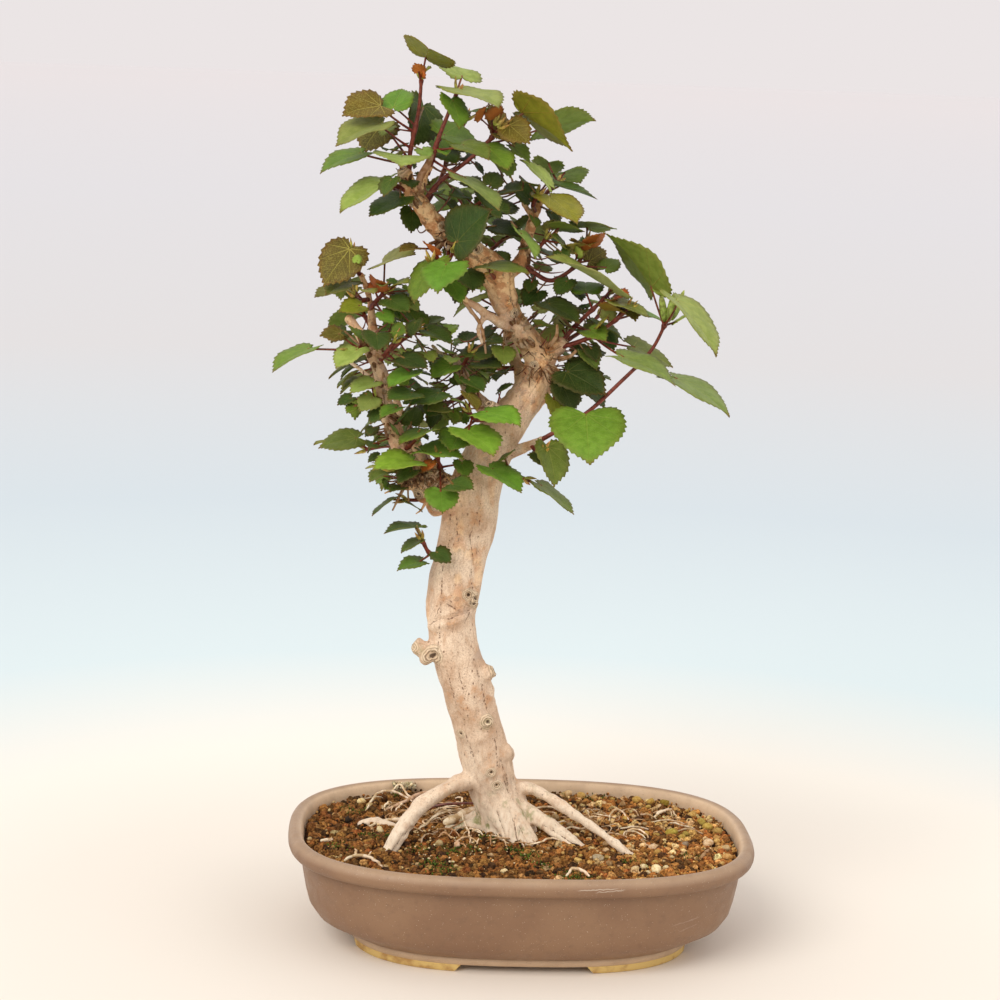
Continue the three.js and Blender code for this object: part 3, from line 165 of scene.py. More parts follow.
# Leafy shoots: name, stem, the leaves that the solids have, and smaller ones. A leaf is
# (joint x, y, z, tip x, y, z, roll in degrees, kind).
SHOOTS = [
    ("crown_left", [(-76, -6, 436), (-76, -8, 450), (-72, -8, 473), (-71, -7, 490)], [
        (-69, -6, 502, -68, -35, 508, 28, "olive"), (-86, -14, 474, -81, 2, 485, 10, "green"),
        (-93, -10, 475, -114, -22, 471, 31, "bronze"), (-91, 4, 465, -103, -6, 449, 26, "bronze"),
        (-93, -22, 466, -118, -31, 455, 14, "light"), (-103, -10, 449, -126, -20, 439, 6, "green"),
        (-80, -26, 449, -81, -55, 446, 3, "light"), (-69, 6, 475, -73, -8, 453, 60, "dark"),
    ], [
        (-73, -12, 494, -74, -18, 500, 30, "orange"),
    ]),
    ("crown_mid", [(-66, -8, 438), (-61, -10, 457), (-56, -9, 471), (-51, -8, 484)], [
        (-50, -8, 486, -28, -33, 479, 0, "light"), (-48, 6, 492, -53, 28, 499, -12, "light"),
        (-54, -20, 486, -49, -31, 471, 20, "green"), (-58, -2, 460, -35, 11, 456, -27, "green"),
        (-48, -20, 453, -33, -32, 447, -11, "dull"), (-46, -24, 438, -26, -42, 423, 11, "light"),
        (-60, 2, 451, -50, -11, 445, -8, "dark"),
    ], [
    ]),
    ("crown_right", [(-68, -6, 422), (-60, -3, 433), (-43, -4, 447), (-33, -6, 457), (-28, -6, 464)], [
        (-15, -8, 474, 14, -25, 455, 37, "olive"), (-1, 10, 465, 29, 21, 471, 32, "green"),
        (-34, -14, 455, -22, -31, 444, -3, "green"), (-22, -2, 467, -11, -11, 458, -45, "bronze"),
    ], [
        (-26, 2, 463, -33, 3, 477, 40, "bronze"), (-27, -8, 462, -21, -16, 454, -30, "bronze"),
        (-32, -2, 471, -30, 3, 478, 0, "orange"),
    ]),
    ("crown_back", [(-67, -4, 420), (-58, 16, 435), (-52, 30, 450), (-44, 40, 467)], [
        (-42, 44, 472, -28, 64, 471, 10, "green"), (-52, 40, 456, -40, 58, 445, -30, "dark"),
        (-55, 26, 449, -63, 38, 460, -1, "green"),
    ], [
    ]),
    ("crown_low", [(-77, -6, 428), (-82, -14, 431), (-86, -18, 432)], [
        (-90, -22, 433, -114, -35, 418, 1, "light"), (-80, -16, 426, -98, -25, 416, 10, "dark"),
    ], [
        (-86, -30, 437, -94, -38, 427, 4, "dark"),
    ]),
    ("leader_front", [(-53, -6, 401), (-53, -16, 392), (-51, -24, 397)], [
        (-49, -27, 403, -32, -40, 423, -74, "deep"),
    ], [
    ]),
    ("leader_top", [(-51, -4, 404), (-42, -6, 417), (-33, -4, 427)], [
        (-25, -2, 417, -40, 3, 430, 16, "dark"), (-33, 4, 421, -13, 14, 421, -25, "dark"),
        (-27, -4, 407, -11, -11, 402, -20, "deep"),
    ], [
        (-23, -6, 431, -14, -16, 438, -20, "dark"), (-31, -10, 434, -23, -1, 438, -15, "dark"),
    ]),
    ("leader_under", [(-58, -6, 404), (-60, -14, 396), (-59, -20, 391)], [
        (-61, -24, 391, -73, -36, 370, -12, "green"), (-55, -32, 386, -60, -52, 373, -6, "bright"),
        (-43, -24, 387, -40, -39, 377, 11, "deep"), (-52, -14, 381, -45, -21, 368, -3, "green"),
    ], [
        (-71, -16, 398, -81, -22, 395, 19, "bronze"),
    ]),
    ("leader_side", [(-26, -6, 381), (-30, -18, 386)], [
        (-32, -24, 390, -9, -35, 388, -5, "dull"),
    ], [
    ]),
    ("top_right", [(-4, 14, 418), (-6, 6, 422), (-4, 2, 428)], [
        (2, 12, 428, -14, 13, 442, 12, "pale"), (3, 4, 428, 18, -17, 415, 2, "olive"),
        (-8, 8, 425, -18, 15, 436, 15, "dark"),
    ], [
    ]),
    ("right_high", [(-8, 12, 400), (-3, 10, 397), (2, 8, 403)], [
        (8, 4, 410, 23, -6, 410, 21, "green"), (-14, -6, 408, -4, -17, 395, 22, "light"),
        (4, 20, 393, 18, 30, 389, -22, "dark"),
    ], [
        (12, 6, 401, 0, 0, 404, 31, "dull"),
    ]),
    ("right_fork", [(-11, 9, 389), (4, 9, 380), (14, 8, 384), (22, 8, 392), (25, 7, 401)], [
        (25, 6, 410, 37, -15, 413, 12, "green"),
    ], [
        (27, 4, 391, 35, 11, 401, -50, "bronze"), (20, 0, 395, 16, -2, 402, 10, "lime"),
        (36, 8, 388, 46, 16, 391, -11, "dull"), (15, 4, 381, 4, -4, 377, 20, "dark"),
    ]),
    ("right_long", [(10, 6, 341), (20, 2, 355), (32, -2, 368), (38, -5, 375)], [
        (39, -12, 378, 1, -20, 399, 4, "light"), (41, -16, 378, 60, -24, 371, -3, "light"),
        (25, -12, 378, 26, 6, 383, 0, "green"), (3, -12, 369, 21, -24, 360, -9, "deep"),
    ], [
        (34, 8, 370, 42, 15, 359, -40, "dull"), (27, -14, 355, 35, -25, 348, -10, "green"),
    ]),
    ("right_tip", [(11, 4, 342), (28, -6, 350), (40, -10, 359), (48, -12, 367)], [
        (56, 0, 365, 70, 12, 360, -19, "green"), (44, -22, 343, 74, -34, 331, -3, "light"),
        (54, 6, 344, 78, 9, 333, -17, "dull"),
    ], [
        (49, -12, 368, 41, -13, 374, 38, "bronze"), (49, -12, 367, 54, -20, 363, -17, "bronze"),
        (32, -22, 356, 36, -14, 364, 24, "olive"),
    ]),
    ("right_out", [(1, -6, 290), (7, -9, 294), (27, -10, 307), (45, -12, 325), (62, -13, 344),
                  (70, -13, 361)], [
        (61, -13, 380, 34, -17, 412, -13, "green"), (73, -21, 375, 96, -39, 348, 11, "pale"),
        (76, -20, 330, 106, -36, 313, 2, "light"), (26, -26, 309, 26, -60, 288, -3, "bright"),
    ], [
        (76, -8, 360, 83, -8, 373, 10, "lime"),
    ]),
    ("right_inner", [(6, 12, 330), (14, 14, 322), (22, 14, 320)], [
        (16, 4, 330, 38, -7, 319, -32, "deep"), (14, 2, 322, 21, -6, 307, -11, "deep"),
        (28, 16, 321, 41, 13, 308, -20, "dark"), (25, 22, 336, 41, 31, 338, -16, "dark"),
    ], [
        (9, 4, 317, 13, -2, 305, 3, "olive"),
    ]),
    ("right_low", [(-3, -5, 288), (2, -12, 284), (4, -18, 287)], [
        (6, -14, 289, 11, -23, 268, 12, "dull"),
    ], [
        (4, -20, 281, -6, -23, 286, 34, "dark"), (20, -4, 292, 31, 1, 284, -35, "dull"),
    ]),
    ("trunk_right", [(-19, 2, 268), (-13, -6, 271), (-6, -10, 269)], [
        (3, -12, 266, 23, -20, 252, 5, "dull"), (-26, -24, 277, -8, -38, 267, -2, "bright"),
    ], [
        (-19, -26, 283, -14, -19, 289, 13, "green"),
    ]),
    ("cut_limb_tuft", [(-23, -4, 303), (-34, -12, 302), (-39, -19, 308)], [
        (-30, -26, 309, -11, -43, 305, -10, "bright"), (-40, -28, 299, -25, -49, 289, -1, "bright"),
        (-43, -26, 299, -57, -41, 291, 4, "green"),
    ], [
        (-40, -22, 318, -35, -32, 309, 9, "bronze"), (-34, -18, 321, -43, -23, 315, 15, "green"),
    ]),
    ("burl_front", [(-52, -8, 268), (-55, -16, 278), (-56, -23, 283)], [
        (-64, -22, 285, -41, -31, 283, -9, "lime"), (-54, -26, 265, -53, -41, 255, 2, "bright"),
        (-48, -24, 269, -36, -34, 269, -24, "dark"),
    ], [
        (-42, -20, 279, -38, -30, 271, 11, "green"), (-59, -30, 280, -62, -34, 273, 20, "orange"),
    ]),
    ("burl_left", [(-66, -8, 268), (-73, -18, 270), (-79, -22, 274)], [
        (-70, -18, 280, -92, -30, 277, 12, "lime"), (-82, -16, 273, -94, -25, 268, 0, "dull"),
    ], [
        (-75, -12, 264, -82, -20, 259, 9, "dark"), (-70, -28, 275, -77, -34, 267, 4, "dark"),
        (-72, -6, 261, -65, -2, 254, -20, "dark"),
    ]),
    ("burl_low", [(-57, -6, 258), (-65, -8, 255), (-72, -10, 255)], [
        (-79, -12, 256, -92, -18, 247, -16, "dark"),
    ], [
    ]),
    ("low_spray", [(-52, -4, 220), (-59, -14, 226), (-63, -18, 234)], [
        (-66, -18, 241, -85, -25, 239, -3, "dark"), (-65, -16, 233, -75, -21, 227, 0, "dull"),
        (-63, -16, 221, -77, -21, 217, 10, "green"),
    ], [
        (-55, -22, 228, -46, -28, 226, -40, "deep"),
    ]),
    ("left_top", [(-102, 6, 380), (-106, 4, 387), (-107, 4, 393)], [
        (-108, 0, 395, -123, -9, 375, 31, "bronze"), (-104, 10, 387, -114, 20, 395, 13, "bronze"),
    ], [
        (-104, -5, 389, -101.5, -7, 393, 12, "lime"),
    ]),
    ("left_side", [(-97, 9, 366), (-102, 2, 366), (-105, -3, 369)], [
        (-107, -8, 376, -121, -20, 370, 12, "dull"), (-101, -4, 364, -113, -11, 361, 27, "olive"),
    ], [
    ]),
    ("left_mid", [(-96, 10, 360), (-93, 4, 365), (-88, 0, 371)], [
        (-89, 4, 388, -72, -13, 395, -26, "pale"), (-85, -6, 368, -74, -17, 363, -21, "dark"),
        (-79, 12, 368, -68, 24, 371, -10, "dark"),
    ], [
        (-95, 0, 373, -86, 4, 377, -18, "orange"), (-82, -4, 376, -72, -14, 378, -27, "olive"),
        (-89, -10, 361, -80, -16, 357, -17, "green"),
    ]),
    ("left_stub", [(-97, -10, 342), (-102, -17, 341), (-107, -18, 340)], [
        (-129, -14, 340, -150, -26, 329, -4, "green"), (-102, -20, 341, -114, -31, 332, 7, "light"),
    ], [
        (-109, 4, 355, -120, -3, 350, 12, "dark"), (-112, -16, 349, -122, -20, 344, 30, "bronze"),
        (-104, -18, 352, -100, -27, 345, 16, "green"),
    ]),
    ("left_front", [(-90, -12, 333), (-85, -20, 341), (-82, -24, 346)], [
        (-92, -28, 351, -91, -42, 343, 5, "deep"), (-77, -24, 338, -63, -33, 334, -19, "deep"),
        (-72, -28, 331, -85, -38, 323, 3, "bright"),
    ], [
        (-83, -26, 352, -75, -36, 357, -35, "green"),
    ]),
    ("left_reach", [(-92, -9, 333), (-84, -6, 339), (-76, -4, 346), (-70, -6, 351)], [
        (-64, -12, 352, -49, -19, 346, -13, "dark"), (-61, -2, 348, -45, 9, 354, -7, "lime"),
        (-69, 6, 354, -77, 17, 364, 1, "green"),
    ], [
        (-70, -14, 357, -73, -23, 346, -18, "dark"), (-63, 12, 353, -52, 22, 358, -9, "green"),
    ]),
    ("mid_cut_tuft", [(-43, 13, 325), (-43, 6, 329), (-42, 0, 332), (-39, -4, 339)], [
        (-49, -8, 332, -61, -17, 326, 16, "green"), (-37, -8, 338, -26, 6, 343, -7, "dark"),
        (-34, -12, 334, -21, -23, 333, -20, "dark"), (-41, 0, 343, -30, 9, 345, -10, "dark"),
        (-40, -14, 325, -31, -24, 320, -7, "dark"),
    ], [
    ]),
    ("mid_lower", [(-36, 13, 313), (-46, 10, 310), (-53, -6, 310), (-55, -14, 314)], [
        (-56, -20, 318, -73, -31, 312, 10, "dark"), (-71, -18, 319, -85, -30, 317, 12, "dark"),
    ], [
        (-52, -20, 310, -61, -27, 304, 10, "dull"), (-48, -14, 307, -43, -20, 301, 4, "green"),
    ]),
    ("left_lower", [(-84, -10, 305), (-89, -16, 310), (-92, -18, 314)], [
        (-93, -20, 323, -106, -28, 318, 11, "light"), (-79, -26, 311, -89, -34, 306, 2, "green"),
    ], [
        (-103, -18, 309, -109, -24, 306, 19, "green"), (-93, -24, 315, -101, -31, 310, 15, "light"),
        (-88, -24, 308, -97, -31, 305, 16, "dark"), (-77, -18, 302, -69, -25, 306, -25, "dark"),
    ]),
    ("left_base", [(-76, -10, 282), (-71, -18, 288), (-68, -22, 292)], [
        (-62, -24, 297, -78, -36, 291, -6, "bright"),
    ], [
        (-80, -22, 296, -86, -27, 301, 30, "dark"), (-71, -14, 299, -66, -6, 307, 14, "dark"),
    ]),
]
HIDDEN_SHOOTS = [
    ("back_shoot_1", (-16, 54, 348), (-22, 76, 372), 4),
    ("back_shoot_2", (-12, 36, 332), (12, 56, 340), 4),
    ("back_shoot_3", (-10, 30, 327), (-34, 50, 322), 4),
    ("back_shoot_4", (-40, 47, 403), (-44, 70, 420), 4),
    ("back_shoot_5", (-34, 26, 389), (-14, 48, 404), 4),
    ("back_shoot_6", (-80, 40, 306), (-92, 62, 326), 5),
    ("back_shoot_7", (-68, 22, 284), (-96, 34, 276), 4),
    ("back_shoot_8", (-92, 8, 345), (-104, 36, 366), 4),
    ("back_shoot_9", (12, 6, 344), (36, 34, 358), 4),
    ("back_shoot_10", (-4, 14, 418), (10, 38, 434), 4),
    ("back_shoot_11", (-66, -4, 417), (-84, 26, 428), 4),
]

BALL_STEP, ROOT_BALL_STEP = 3.0, 2.0
SAMPLE_STEP, BLADE_CLEAR, STALK_CLEAR, STEM_CLEAR = 2.5, 3.2, 2.4, 2.8
WOOD_CLEAR, STALK_WOOD_CLEAR, STALK_SINK, STEM_NODES = 1.4, 1.0, 1.1, 24
# In blade lengths: how far a blade reaches behind its joint, where it is widest, its half width
BLADE_BACK, BLADE_BELLY, BLADE_HALF = 0.16, 0.22, 0.52
Z_UP = np.array([0.0, 0.0, 1.0])


def balls_along(paths, step):
    """Balls (x, y, z, radius) at even steps along paths of wood."""
    found = []
    for path in paths:
        steps = math.ceil(path_length(path) / step)
        found += [on_path(path, i / steps) for i in range(steps + 1)]
    return found


# The wood over the soil, for keeping leaves clear of it
balls = np.array(balls_along([TRUNK, *LIMBS.values()], BALL_STEP) + KNOBS, float)


def gaps(wood, point):
    """Distance from a point to the skin of each ball of wood."""
    return np.linalg.norm(wood[:, :3] - point, axis=1) - wood[:, 3]


def in_wood(points, margin):
    away = np.linalg.norm(points[:, None, :] - balls[None, :, :3], axis=2)
    return bool((away < balls[None, :, 3] + margin).any())


def unit(v):
    return v / np.linalg.norm(v)


class Leaf:
    """Joint, unit directions along, across and out of the blade, length and shape."""

    def __init__(self, row, fold, arch):
        self.joint = np.array(row[:3], float)
        along = np.array(row[3:6], float) - self.joint
        self.length = float(np.linalg.norm(along))
        self.along = along / self.length
        level = unit(np.cross(self.along, Z_UP))
        up = np.cross(level, self.along)
        turn = math.radians(row[6])
        self.across = level * math.cos(turn) + up * math.sin(turn)
        self.out = np.cross(self.across, self.along)
        self.fold, self.arch = fold, arch

    def at(self, u, v, lift=0.0):
        u, v = np.asarray(u, float), np.asarray(v, float)
        rise = (self.fold * np.abs(v) + self.arch * u * (1 - u)) * self.length + lift
        flat = self.joint + self.along * (u * self.length)[..., None]
        return flat + self.across * (v * self.length)[..., None] + self.out * rise[..., None]


def blade_samples(leaf):
    rows = math.ceil(((1 + BLADE_BACK) * leaf.length) / SAMPLE_STEP)
    us, vs = [], []
    for i in range(rows + 1):
        u = -BLADE_BACK + ((1 + BLADE_BACK) * i) / rows
        span = 0.4 if u < BLADE_BELLY else 1 - BLADE_BELLY
        width = BLADE_HALF * math.sqrt(max(0.0, 1 - ((u - BLADE_BELLY) / span) ** 2))
        columns = max(1, math.ceil((width * leaf.length) / SAMPLE_STEP))
        for j in range(-columns, columns + 1):
            us.append(u)
            vs.append((width * j) / columns)
    return leaf.at(us, vs)


def line_samples(points):
    found = []
    for a, b in zip(points, points[1:]):
        steps = max(1, math.ceil(float(np.linalg.norm(b - a)) / 2))
        found += [a + (b - a) * (k / steps) for k in range(steps)]
    return np.array(found + [points[-1]])


def near(first, second, limit):
    away = first[:, None, :] - second[None, :, :]
    return bool(((away ** 2).sum(axis=2) < limit * limit).any())


class Shoot:
    def __init__(self, name, stem, rows):
        self.name, self.stem, self.rows = name, stem, rows
        self.reach = path_length(stem)
        self.samples = line_samples([np.array(p, float) for p in stem])
        self.nodes = []
        for i in range(STEM_NODES + 1):
            point = np.array(on_path(stem, i / STEM_NODES))
            if not in_wood(point[None, :], STALK_WOOD_CLEAR):
                self.nodes.append((point, (self.reach * i) / STEM_NODES))
        self.grown = []

    def stalk(self, leaf):
        """The stalk leaves the stem a little before the point nearest to the joint."""
        def cost(node):
            return float(np.linalg.norm(node[0] - leaf.joint)) + 0.5 * node[1]
        start = min(self.nodes, key=cost)[0]
        return [start, leaf.at(STALK_SINK / leaf.length, 0.0)]


placed = []
shoots = []


def is_clear(shoot, leaf, samples, stalk, ease):
    """Whether a leaf is clear of the wood, of other leaves and of other shoots."""
    if in_wood(samples, WOOD_CLEAR * ease) or in_wood(stalk, STALK_WOOD_CLEAR * ease):
        return False
    blade_clear, stalk_clear = BLADE_CLEAR * ease, STALK_CLEAR * ease
    for other in placed:
        reach = 0.8 * (leaf.length + other["leaf"].length) + BLADE_CLEAR
        away = float(np.linalg.norm(leaf.joint - other["leaf"].joint))
        if away <= reach + 8 and near(samples, other["samples"], blade_clear):
            return False
        if other["shoot"] is not shoot and away <= reach + 80:
            for mine, its in ((stalk, "samples"), (samples, "stalk"), (stalk, "stalk")):
                if near(mine, other[its], stalk_clear):
                    return False
    for other in shoots:
        if other is not shoot:
            if near(samples, other.samples, STEM_CLEAR * ease):
                return False
            if near(stalk, other.samples, stalk_clear):
                return False
    return True


# Where a leaf is tried, from its own place outwards: depth, lift and turn in degrees
MOVES = [(0, 0, 0)]
for turn in (0, 12, -12, 24, -24):
    for lift in (0, 3, -3, 6, -6):
        MOVES += [(depth, lift, turn) for depth in (0, -4, 4, -8, 8, -12, 12)]


def moved(row, move):
    depth, lift, turn = move
    jx, jy, jz, tx, ty, tz = row[:6]
    a = math.radians(turn)
    dx = (tx - jx) * math.cos(a) - (ty - jy) * math.sin(a)
    dy = (tx - jx) * math.sin(a) + (ty - jy) * math.cos(a)
    return (jx, jy + depth, jz + lift, jx + dx, jy + depth + dy, tz + lift, row[6])


def settle(shoot, row, draw, ease=1.0):
    """Keeps a leaf at the first place near the row's own that is clear, if there is one."""
    fold = 0.02 + 0.2 * draw()
    arch = 0.05 + 0.12 * draw()
    for move in MOVES:
        leaf = Leaf(moved(row, move), fold, arch)
        samples = blade_samples(leaf)
        path = shoot.stalk(leaf)
        stalk = line_samples(path)
        if is_clear(shoot, leaf, samples, stalk, ease):
            kept = {"shoot": shoot, "leaf": leaf, "samples": samples, "stalk": stalk,
                    "path": path, "kind": row[7]}
            placed.append(kept)
            shoot.grown.append(kept)
            return


def hidden_leaves(stem, count, draw):
    """Leaves of a hidden shoot, to either side of its stem in turn and one at its tip."""
    root, tip = stem[0], stem[-1]
    lean = math.atan2(tip[1] - root[1], tip[0] - root[0])
    rows = []
    for i in range(count):
        x, y, z = on_path(stem, 0.3 + (0.7 * i) / (count - 1))
        sideways = 0.0
        if i != count - 1:
            sideways = (1 if i % 2 == 0 else -1) * (0.5 + 1.1 * draw())
        heading = lean + sideways
        stalk = 7 + 8 * draw()
        length = 15 + 11 * draw()
        droop = 0.2 + 0.5 * draw()
        jx = x + 0.8 * stalk * math.cos(heading)
        jy = y + 0.8 * stalk * math.sin(heading)
        jz = z + 0.6 * stalk
        tx = jx + length * math.cos(droop) * math.cos(heading)
        ty = jy + length * math.cos(droop) * math.sin(heading)
        tz = jz - length * math.sin(droop)
        rows.append((jx, jy, jz, tx, ty, tz, -20 + 40 * draw(), ("green", "dark", "dull")[i % 3]))
    return rows


# Larger leaves choose their places first
leaf_draw = draws_from(LEAF_SEED)
for name, stem, rows, small in SHOOTS:
    shoots.append(Shoot("shoot_" + name, stem, rows))
for name, root, tip, count in HIDDEN_SHOOTS:
    middle = tuple((a + b) / 2 + 3 * (leaf_draw() - 0.5) for a, b in zip(root, tip))
    stem = [root, middle, tip]
    shoots.append(Shoot(name, stem, hidden_leaves(stem, count, leaf_draw)))
by_size = [(shoot, row) for shoot in shoots for row in shoot.rows]
by_size.sort(key=lambda pair: -sum((a - b) ** 2 for a, b in zip(pair[1][:3], pair[1][3:6])))
for shoot, row in by_size:
    settle(shoot, row, leaf_draw)


def lattice_noise(points, size, seed):
    """Smooth noise between -1 and 1; size is the lump size in millimetres, one or one per axis."""
    cells = np.asarray(points, float) / np.asarray(size, float)
    base = np.floor(cells).astype(np.int64)
    f = cells - base
    f = f * f * (3 - 2 * f)
    total = np.zeros(len(cells))
    for corner in np.ndindex(2, 2, 2):
        key = base + np.array(corner)
        mixed = (key[:, 0] * 73856093) ^ (key[:, 1] * 19349663) ^ (key[:, 2] * 83492791)
        mixed = (mixed + seed * 40503) & 0xFFFFFFFF
        mixed = ((mixed ^ (mixed >> 13)) * 1274126177) & 0xFFFFFFFF
        value = ((mixed ^ (mixed >> 16)) & 0xFFFF) / 32767.5 - 1
        total += np.prod(np.where(np.array(corner) == 1, f, 1 - f), axis=1) * value
    return total


def smooth_step(low, high, value):
    t = np.clip((value - low) / (high - low), 0, 1)
    return t * t * (3 - 2 * t)


def linear(colour):
    """Linear values of a colour given as sRGB numbers from 0 to 255."""
    c = np.asarray(colour, float) / 255
    return np.where(c <= 0.04045, c / 12.92, ((c + 0.055) / 1.055) ** 2.4)


def metres(points):
    """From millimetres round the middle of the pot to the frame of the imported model."""
    return (points + (POT_OFFSET, 0, 0)) * 0.001


def millimetres(points):
    return points * 1000 - (POT_OFFSET, 0, 0)


def linked(name, data):
    """A new object in the scene."""
    made = bpy.data.objects.new(name, data)
    scene.collection.objects.link(made)
    return made


def new_mesh(name, points, faces):
    mesh = bpy.data.meshes.new(name)
    mesh.from_pydata(points.tolist(), [], faces)
    return mesh


def place(mesh, name, nodes=()):
    """Puts a mesh in the scene as a piece of the tree."""
    piece = linked(name, mesh)
    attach(piece, "root")
    if nodes:
        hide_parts(*nodes)
    return piece


def dress(mesh, material):
    mesh.materials.clear()
    mesh.materials.append(material)


def add_layer(mesh, name, kind, values):
    """Stores values for each point, for the materials to read."""
    key = {"FLOAT": "value", "FLOAT_COLOR": "color", "FLOAT_VECTOR": "vector"}[kind]
    mesh.attributes.new(name, kind, "POINT").data.foreach_set(key, np.ravel(values))


def read_vectors(table, key):
    found = np.zeros(len(table) * 3, np.float32)
    table.foreach_get(key, found)
    return found.reshape(-1, 3).astype(float)


def write_points(mesh, points):
    mesh.vertices.foreach_set("co", points.astype(np.float32).ravel())
    mesh.update()


class Build:
    """Gathers the points and faces of one mesh, in millimetres round the middle of the pot."""

    def __init__(self):
        self.points, self.tints, self.flats = [], [], []
        self.faces, self.slots = [], []
        self.count = 0

    def add(self, points, faces, tint=(255, 255, 255), slot=0, flat=None):
        """Tint is one sRGB colour, or a linear one for each point."""
        size = len(points)
        self.points.append(points)
        tint = np.asarray(tint, float)
        if tint.ndim == 1:
            tint = np.tile(linear(tint), (size, 1))
        self.tints.append(tint)
        self.flats.append(np.zeros((size, 3)) if flat is None else flat)
        self.faces += [[i + self.count for i in face] for face in faces]
        self.slots += [slot] * len(faces)
        self.count += size

    def mesh(self, name):
        return new_mesh(name, metres(np.concatenate(self.points)), self.faces)

    def piece(self, name, materials, slot, nodes=(), smooth=True):
        mesh = self.mesh(name)
        for material in materials:
            mesh.materials.append(material)
        mesh.polygons.foreach_set("material_index", self.slots)
        mesh.polygons.foreach_set("use_smooth", [smooth] * len(self.faces))
        tints = np.insert(np.concatenate(self.tints), 3, 1.0, axis=1)
        add_layer(mesh, "tint", "FLOAT_COLOR", tints)
        add_layer(mesh, "flat", "FLOAT_VECTOR", np.concatenate(self.flats))
        mesh.update()
        return place(mesh, name, nodes)


def grid_faces(rows, columns):
    """Quads between closed rings that lie one after another, each of so many points."""
    faces = []
    for a in range(0, (rows - 1) * columns, columns):
        for i in range(columns):
            j = (i + 1) % columns
            faces.append([a + i, a + j, a + columns + j, a + columns + i])
    return faces


def capped(rings, first, last):
    """Points and faces of rings in a row, closed by a point at either end."""
    columns = len(rings[0])
    points = np.concatenate([*rings, [first], [last]])
    faces = grid_faces(len(rings), columns)
    end = (len(rings) - 1) * columns
    for i in range(columns):
        j = (i + 1) % columns
        faces.append([len(points) - 2, j, i])
        faces.append([len(points) - 1, end + i, end + j])
    return points, faces


def tube(path, sides, steps, lump=0.0, scale=1.0):
    """A closed tapered tube along a path of (x, y, z, radius), with a lumpy section."""
    spans = len(path) - 1
    found = np.array([on_path(path, i / steps) for i in range(steps + 1)])
    centres, radii = found[:, :3], found[:, 3]
    ahead = centres[np.minimum(np.arange(steps + 1) + 1, steps)]
    behind = centres[np.maximum(np.arange(steps + 1) - 1, 0)]
    along = ahead - behind
    along /= np.linalg.norm(along, axis=1)[:, None]
    side = np.cross((1.0, 0.0, 0.0), along[0])
    if np.linalg.norm(side) < 0.2:
        side = np.cross((0.0, 1.0, 0.0), along[0])
    angles = 2 * np.pi * np.arange(sides) / sides
    rings = []
    for i in range(steps + 1):
        side = unit(side - along[i] * (side @ along[i]))
        other = np.cross(along[i], side)
        k = spans * i / steps
        swell = 1 + lump * np.sin(3 * angles + 0.35 * k) + lump * np.sin(2 * angles - 0.6 * k)
        out = np.outer(np.cos(angles), side) + np.outer(np.sin(angles), other)
        rings.append(centres[i] + out * (radii[i] * swell * scale)[:, None])
    return capped(rings, centres[0] - along[0] * 0.3 * radii[0],
                  centres[-1] + along[-1] * 0.3 * radii[-1])


class Value:
    """The output of a material's node, for sums with plain signs."""

    def __init__(self, look, socket):
        self.look, self.socket = look, socket

    def __add__(self, other):
        return self.look.math("ADD", self, other)

    def __sub__(self, other):
        return self.look.math("SUBTRACT", self, other)

    def __mul__(self, other):
        return self.look.math("MULTIPLY", self, other)

    def __truediv__(self, other):
        return self.look.math("DIVIDE", self, other)

    def __abs__(self):
        return self.look.math("ABSOLUTE", self)

    def most(self, other):
        return self.look.math("MAXIMUM", self, other)

    def span(self, low, high, first=0.0, last=1.0):
        """Maps low..high smoothly to first..last."""
        return self.look.made("ShaderNodeMapRange", (self, low, high, first, last),
                              interpolation_type="SMOOTHSTEP")


